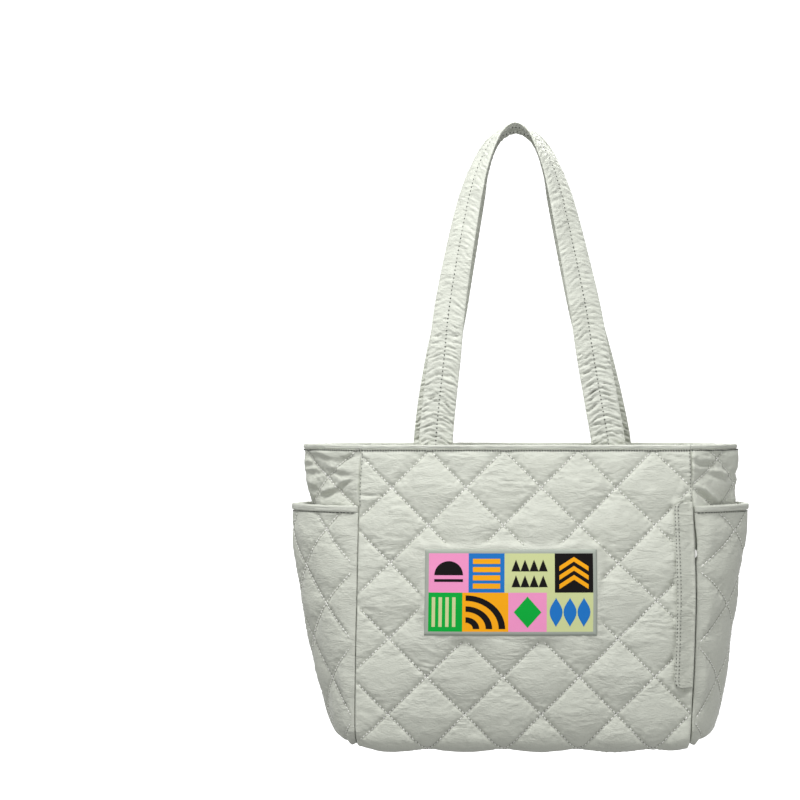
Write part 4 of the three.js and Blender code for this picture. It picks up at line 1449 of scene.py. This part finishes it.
def washed_nylon(name, tone, shadow, crinkles=1.0):
    """Pale plain-weave nylon, washed and tumbled: fine sharp crinkles and a faint sheen. Its
    threads are drawn 1 mm apart, coarser than real ones, so that the weave shows."""
    material, tree, shader = fresh_material(
        name, Roughness=0.58, Sheen_Weight=0.22, Sheen_Roughness=0.45, IOR=1.5,
    )
    place = add(tree, "ShaderNodeUVMap", uv_map="cloth").outputs["UV"]
    # Broad crinkles, each longer across the cloth than down it, and sharp ones between them
    size = (per_metre(26.3), per_metre(8.33), 1)
    wide = add(tree, "ShaderNodeMapping", {"Vector": place, "Scale": size})
    broad = add(tree, "ShaderNodeTexNoise", {"Vector": wide.outputs["Vector"], "Scale": 1.0,
                                             "Detail": 5.0, "Roughness": 0.62, "Distortion": 0.6})
    size = (per_metre(3.846), per_metre(1.613), 1)
    narrow = add(tree, "ShaderNodeMapping", {"Vector": place, "Scale": size})
    sharp = add(tree, "ShaderNodeTexNoise", {"Vector": narrow.outputs["Vector"], "Scale": 1.0,
                                             "Detail": 3.0, "Roughness": 0.6, "Distortion": 0.9})
    # The plain weave
    threads = {"Vector": place, "Scale": ribs_per_metre(0.988)}
    warp = add(tree, "ShaderNodeTexWave", threads, wave_type="BANDS", bands_direction="X")
    weft = add(tree, "ShaderNodeTexWave", threads, wave_type="BANDS", bands_direction="Y")
    weave = add(tree, "ShaderNodeMath", {0: warp.outputs["Fac"], 1: weft.outputs["Fac"]},
                operation="MULTIPLY")
    # The broad crinkles come and go, and the colour is a little cloudy
    patchy = add(tree, "ShaderNodeTexNoise", {"Vector": place, "Scale": per_metre(31.25),
                                              "Detail": 2.0})
    amount = add(tree, "ShaderNodeMapRange", {"Value": patchy.outputs["Fac"], "From Min": 0.4,
                                              "From Max": 0.62, "To Min": 0.15, "To Max": 1.0})
    folds = add(tree, "ShaderNodeMath", {0: broad.outputs["Fac"], 1: amount.outputs["Result"]},
                operation="MULTIPLY")
    cloudy = add(tree, "ShaderNodeTexNoise", {"Vector": place, "Scale": per_metre(71.4),
                                              "Detail": 3.0})
    mix = add(tree, "ShaderNodeMix", {"Factor": cloudy.outputs["Fac"]}, data_type="RGBA")
    mix.inputs["A"].default_value = linear(shadow)
    mix.inputs["B"].default_value = linear(tone)
    first = add(tree, "ShaderNodeBump", {"Height": folds.outputs["Value"], "Strength": 0.8 * crinkles,
                                         "Distance": 3.4 * MM})
    second = add(tree, "ShaderNodeBump", {"Height": sharp.outputs["Fac"], "Strength": 0.6 * crinkles,
                                          "Distance": 1.2 * MM, "Normal": first.outputs["Normal"]})
    third = add(tree, "ShaderNodeBump", {"Height": weave.outputs["Value"], "Strength": 0.25,
                                         "Distance": 0.1 * MM, "Normal": second.outputs["Normal"]})
    tree.links.new(mix.outputs["Result"], shader.inputs["Base Color"])
    tree.links.new(third.outputs["Normal"], shader.inputs["Normal"])
    return material


def spun_thread(name, code):
    """Spun polyester sewing thread: matt and slightly fuzzy from its twist."""
    material, tree, shader = fresh_material(name, Roughness=0.75, Sheen_Weight=0.3, IOR=1.5)
    place = add(tree, "ShaderNodeTexCoord").outputs["Object"]
    twist = add(tree, "ShaderNodeTexNoise", {"Vector": place, "Scale": per_metre(0.4),
                                             "Detail": 1.0})
    bump = add(tree, "ShaderNodeBump", {"Height": twist.outputs["Fac"], "Strength": 0.3,
                                        "Distance": 0.2 * MM})
    shader.inputs["Base Color"].default_value = linear(code)
    tree.links.new(bump.outputs["Normal"], shader.inputs["Normal"])
    return material


def printed_cloth(name, code):
    """Smooth cloth printed in one flat ink, with a fine weave that breaks the colour a little."""
    material, tree, shader = fresh_material(name, Roughness=0.6, Specular_IOR_Level=0.15, IOR=1.5)
    place = add(tree, "ShaderNodeUVMap", uv_map="cloth").outputs["UV"]
    grain = add(tree, "ShaderNodeTexNoise", {"Vector": place, "Scale": per_metre(2 / 3),
                                             "Detail": 2.0})
    mix = add(tree, "ShaderNodeMix", {"Factor": grain.outputs["Fac"]}, data_type="RGBA")
    bright = linear(code)
    mix.inputs["A"].default_value = bright
    mix.inputs["B"].default_value = (*[c * 0.86 for c in bright[:3]], 1)
    bump = add(tree, "ShaderNodeBump", {"Height": grain.outputs["Fac"], "Strength": 0.2,
                                        "Distance": 0.2 * MM})
    tree.links.new(mix.outputs["Result"], shader.inputs["Base Color"])
    tree.links.new(bump.outputs["Normal"], shader.inputs["Normal"])
    return material


def woven_tape(name, code):
    """Woven zip tape with its nylon coil, a darker grey than the bag."""
    material, tree, shader = fresh_material(name, Roughness=0.7, IOR=1.5)
    place = add(tree, "ShaderNodeUVMap", uv_map="cloth").outputs["UV"]
    ribs = add(tree, "ShaderNodeTexWave", {"Vector": place, "Scale": ribs_per_metre(1.57)},
               wave_type="BANDS", bands_direction="X")
    bump = add(tree, "ShaderNodeBump", {"Height": ribs.outputs["Fac"], "Strength": 0.4,
                                        "Distance": 0.2 * MM})
    shader.inputs["Base Color"].default_value = linear(code)
    tree.links.new(bump.outputs["Normal"], shader.inputs["Normal"])
    return material


def glossy_glint_coat(name, code):
    """A glossy coat on the cast pull, with a faint orange-peel surface. Its white is a painted
    highlight for the glint of the metal.
    """
    material, tree, shader = fresh_material(name, Roughness=0.2, Coat_Weight=0.4, IOR=1.5)
    place = add(tree, "ShaderNodeTexCoord").outputs["Object"]
    peel = add(tree, "ShaderNodeTexNoise", {"Vector": place, "Scale": per_metre(1.11),
                                            "Detail": 1.0})
    bump = add(tree, "ShaderNodeBump", {"Height": peel.outputs["Fac"], "Strength": 0.05,
                                        "Distance": 0.3 * MM})
    shader.inputs["Base Color"].default_value = linear(code)
    tree.links.new(bump.outputs["Normal"], shader.inputs["Normal"])
    return material


quilted_nylon = washed_nylon("quilted_nylon", 0xCFD2C7, 0xC6C9BD)
smooth_nylon = washed_nylon("smooth_nylon", 0xD1D4CA, 0xC9CCC0, 0.8)
# The zip cover's nylon is a darker copy of the bag's nylon: painted shade for its recessed strip, which
# faces away from the light
cover_nylon_painted_shade = washed_nylon("cover_nylon_painted_shade", 0xC3C6BB, 0xBCBFB3)
pale_thread = spun_thread("pale_thread", 0xFEFEFA)
# Grey for the dots in the needle holes: painted shade, not a thread's colour
needle_hole_shade = spun_thread("needle_hole_shade", 0x7E8277)
# Near-black thread for stitching that lies in shadow: its colour is painted shade, not the thread's own
painted_shade_thread = spun_thread("painted_shade_thread", 0x3A3D35)
patch_ground = printed_cloth("patch_border", 0xA9B0A6)
INK_COLOURS = {"pink": 0xF79ACB, "black": 0x110D0D, "green": 0x00AE3C, "pale_green": 0xD2DA9E,
               "blue": 0x1F77C9, "orange": 0xFFAE12}
inks = {name: printed_cloth(f"ink_{name}", INK_COLOURS[name]) for name in INKS}
zip_tape = woven_tape("zip_tape", 0x8F948A)
# The pull is drawn white, a painted highlight for the glint of a metal pull
white_enamel = glossy_glint_coat("white_enamel", 0xF4F4F0)


# Making the pieces
def dress(piece, slot, *materials, stands_for=()):
    """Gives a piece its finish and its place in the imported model."""
    for material in materials:
        piece.data.materials.append(material)
    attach(piece, "root")
    if stands_for:
        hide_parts(*stands_for)
    return piece


def sew(name, pairs, skin, lift):
    """Lays a piece's quilting stitches, and grey dots between them that are painted shade for the
    needle holes.
    """
    threads = laid_stitches(f"{name}_stitches", pairs, skin, THREAD_RADIUS, lift)
    dress(threads, "smooth_nylon", pale_thread)
    holes = laid_stitches(f"{name}_needle_holes", needle_holes(pairs), skin, HOLE_RADIUS, HOLE_LIFT)
    dress(holes, "smooth_nylon", needle_hole_shade)


def shadow_row(name, pairs, skin, radius=HOLE_RADIUS):
    """A row of stitching in near-black thread: the colour is painted shade for the shadow of the fold
    it lies in.
    """
    dress(laid_stitches(name, pairs, skin, radius, SUNK_LIFT), "smooth_nylon", painted_shade_thread)


def rim_stitching(name, start, end, skin):
    """The row under the rim's hem, close from seam to seam, drawn in near-black thread as painted shade
    for the shadow there.
    """
    line = row_of_stitches(start + 0.2, end - 0.2, WALL_TOP + 0.5, *RIM_ROW, upright=False)
    shadow_row(name, line, skin, RIM_LINE_RADIUS)


def shows_in_front(pairs):
    """Whether stitches lie clear of the printed patch and the zip cover."""
    across, down = pairs.mean(axis=1).T
    covered = np.maximum(patch_press(across, down), cover_press(across, down))
    return covered < HIDES_STITCHES


front = dress(panel("front", -1), "quilted_nylon", quilted_nylon, stands_for=["front_panel"])
back = dress(panel("back", 1), "quilted_nylon", quilted_nylon, stands_for=["back_panel"])
base = dress(base_panel(), "quilted_nylon", quilted_nylon, stands_for=["base_panel"])
padded_pieces = [front, back, base]
for hand, side in (("left", -1), ("right", 1)):
    gusset_piece = gusset(f"gusset_{hand}_quilt", side)
    dress(gusset_piece, "quilted_nylon", quilted_nylon, stands_for=[f"gusset_{hand}"])
    pocket_piece = side_pocket(f"side_pocket_{hand}_quilt", side)
    dress(pocket_piece, "quilted_nylon", quilted_nylon, stands_for=[f"side_pocket_{hand}"])
    walls = partial(gusset_surface, side), partial(gusset_outward, side)
    rim_piece = rim_hem(f"rim_hem_{hand}_roll", 0, GUSSET_WIDTH, *walls, 211 + side)
    dress(rim_piece, "smooth_nylon", smooth_nylon, stands_for=[f"rim_hem_{hand}"])
    hem_piece = pocket_hem(f"pocket_hem_{hand}_roll", side, 221 + side)
    dress(hem_piece, "smooth_nylon", smooth_nylon, stands_for=[f"pocket_hem_{hand}"])
    padded_pieces += [gusset_piece, pocket_piece, rim_piece, hem_piece]
    name = f"gusset_{hand}"
    upper = lattice_stitches(name, (2, WALL_TOP + 2), (GUSSET_WIDTH - 2, POCKET_TOP + 4))
    sew(name, upper, gusset_skin(side), THREAD_LIFT["gusset"])
    rim_stitching(f"rim_{hand}_stitching", 0, GUSSET_WIDTH, gusset_skin(side))
    name = f"pocket_{hand}"
    hem_foot = POCKET_TOP + POCKET_HEM
    lower = lattice_stitches(name, (3, hem_foot + 2), (GUSSET_WIDTH - 3, WRAP_END - 4))
    sew(name, lower, pocket_skin(side), THREAD_LIFT["pocket"])
    hem_line = row_of_stitches(3, GUSSET_WIDTH - 3, hem_foot + 0.6, *POCKET_HEM_ROW, upright=False)
    shadow_row(f"pocket_hem_{hand}_stitching", hem_line, pocket_skin(side))

for name, face, seed in (("front", -1, 231), ("back", 1, 241)):
    walls = partial(panel_surface, face), partial(panel_outward, face)
    rim_piece = rim_hem(f"rim_hem_{name}_roll", -HALF_PANEL, HALF_PANEL, *walls, seed)
    dress(rim_piece, "smooth_nylon", smooth_nylon, stands_for=[f"rim_hem_{name}"])
    spread = FRONT_SPREAD if face < 0 else BACK_SPREAD
    band, line = handle(f"handle_{name}_band", face, spread, seed + 3)
    dress(band, "smooth_nylon", smooth_nylon, stands_for=[f"handle_{name}"])
    for side_name, side in (("outer", 1), ("inner", -1)):
        # The band's stitching is drawn near-black, painted shade for the shadow among its puckers
        row_name = f"handle_{name}_{side_name}_holes"
        row = band_stitches(row_name, line, seed + 3, *BAND_ROW, BAND_HOLE_RADIUS, side)
        dress(row, "smooth_nylon", painted_shade_thread)
    padded_pieces += [rim_piece, band]
    skin = panel_skin(face)
    pairs = lattice_stitches(name, (2 - HALF_PANEL, WALL_TOP + 2), (HALF_PANEL - 2, WRAP_END - 2))
    if face < 0:
        pairs = pairs[shows_in_front(pairs)]
    sew(f"{name}_panel", pairs, skin, THREAD_LIFT["panel"])
    rim_stitching(f"rim_{name}_stitching", -HALF_PANEL, HALF_PANEL, skin)
    beside = [row_of_stitches(WALL_TOP + 3, POCKET_TOP, place, *SIDE_SEAM_ROW)
              for place in (SEAM_ROW_INSET - HALF_PANEL, HALF_PANEL - SEAM_ROW_INSET)]
    shadow_row(f"{name}_seam_stitching", np.vstack(beside), skin)

# The cover gets the darker nylon, which is painted shade
cover = dress(zip_cover(), "smooth_nylon", cover_nylon_painted_shade, stands_for=["zip_cover"])
cover_rows = [row_of_stitches(COVER_TOP + 4, COVER_BOTTOM - 3, COVER_LEFT + inset, *COVER_ROW)
              for inset in COVER_ROWS]
shadow_row("zip_cover_stitching", np.vstack(cover_rows), cover_skin)
dress(pocket_zip(), "zip_tape", zip_tape, stands_for=["pocket_zip"])
dress(zip_pull(), "white_enamel", white_enamel, stands_for=["zip_pull"])
patch = dress(patch_cloth(), "printed_patch", patch_ground, stands_for=["printed_patch"])
for layer in patch_print():
    dress(layer, "printed_patch", *[inks[name] for name in INKS])


# Backdrop, light and camera, in metres
def white_paper(name):
    """Studio paper, lit so evenly that it shows pure white."""
    material, _, shader = fresh_material(name, Roughness=0.9)
    shader.inputs["Base Color"].default_value = linear(0xFFFFFF)
    shader.inputs["Emission Color"].default_value = linear(0xFFFFFF)
    shader.inputs["Emission Strength"].default_value = 1.0
    return material


def backdrop(size, place):
    """An upright square behind the tote, facing the camera."""
    bm = bmesh.new()
    bmesh.ops.create_grid(bm, x_segments=1, y_segments=1, size=size / 2)
    for vertex in bm.verts:
        x, y, _ = vertex.co
        vertex.co = Vector((x, 0, y)) + Vector(place)
    plane = in_scene("backdrop", finished_mesh("backdrop", bm))
    plane.data.materials.append(white_paper("white_backdrop"))


backdrop(5, (0, 4, -0.3))


def soft_light(name, place, target, size, power):
    data = bpy.data.lights.new(name, "AREA")
    data.shape = "DISK"
    data.size = size
    data.energy = power
    lamp = in_scene(name, data)
    lamp.location = place
    lamp.rotation_euler = (Vector(target) - Vector(place)).to_track_quat("-Z", "Y").to_euler()
    lamp.visible_camera = False


# All lamps point at the middle of the tote. The key hangs high in front, a little to the left.
middle = (0.01, 0, -0.42)
soft_light("key", (-0.2, -0.65, 0.85), middle, 0.55, 18)
soft_light("fill", (1.7, -1.4, -0.9), middle, 1.4, 9.5)
soft_light("side", (-1.5, -0.9, -0.3), middle, 0.8, 4)
soft_light("rear", (0.35, 0.8, 0.85), middle, 0.6, 11)

# A white room that is dimmer towards its floor
world = bpy.data.worlds.new("studio")
world.use_nodes = True
sky = world.node_tree.nodes["Background"]
sky.inputs["Color"].default_value = (1, 1, 1, 1)
direction = add(world.node_tree, "ShaderNodeTexCoord").outputs["Generated"]
height = add(world.node_tree, "ShaderNodeSeparateXYZ", {"Vector": direction}).outputs["Z"]
glow = add(world.node_tree, "ShaderNodeMapRange", {"Value": height, "From Min": -0.5, "From Max": 0.4,
                                                   "To Min": 0.34, "To Max": 0.47})
world.node_tree.links.new(glow.outputs["Result"], sky.inputs["Strength"])
bpy.context.scene.world = world
bpy.context.scene.view_settings.view_transform = "Standard"

# The photograph's frame is 800 pixels, and its view axis falls right of the middle. EYE is in
# millimetres from the tote's zero.
FRAME_PIXELS = 800
AXIS_PIXEL = 525.5
EYE = (10.5, -1880, -282)
SENSOR_WIDTH = 36
FOCAL_LENGTH = 81
camera_data = bpy.data.cameras.new("camera")
camera_data.sensor_width = SENSOR_WIDTH
camera_data.lens = FOCAL_LENGTH
camera_data.shift_x = -(AXIS_PIXEL - FRAME_PIXELS / 2) / FRAME_PIXELS
camera = in_scene("camera", camera_data)
camera.location = [value * MM for value in EYE]
camera.rotation_euler = (math.pi / 2, 0, 0)
bpy.context.scene.camera = camera
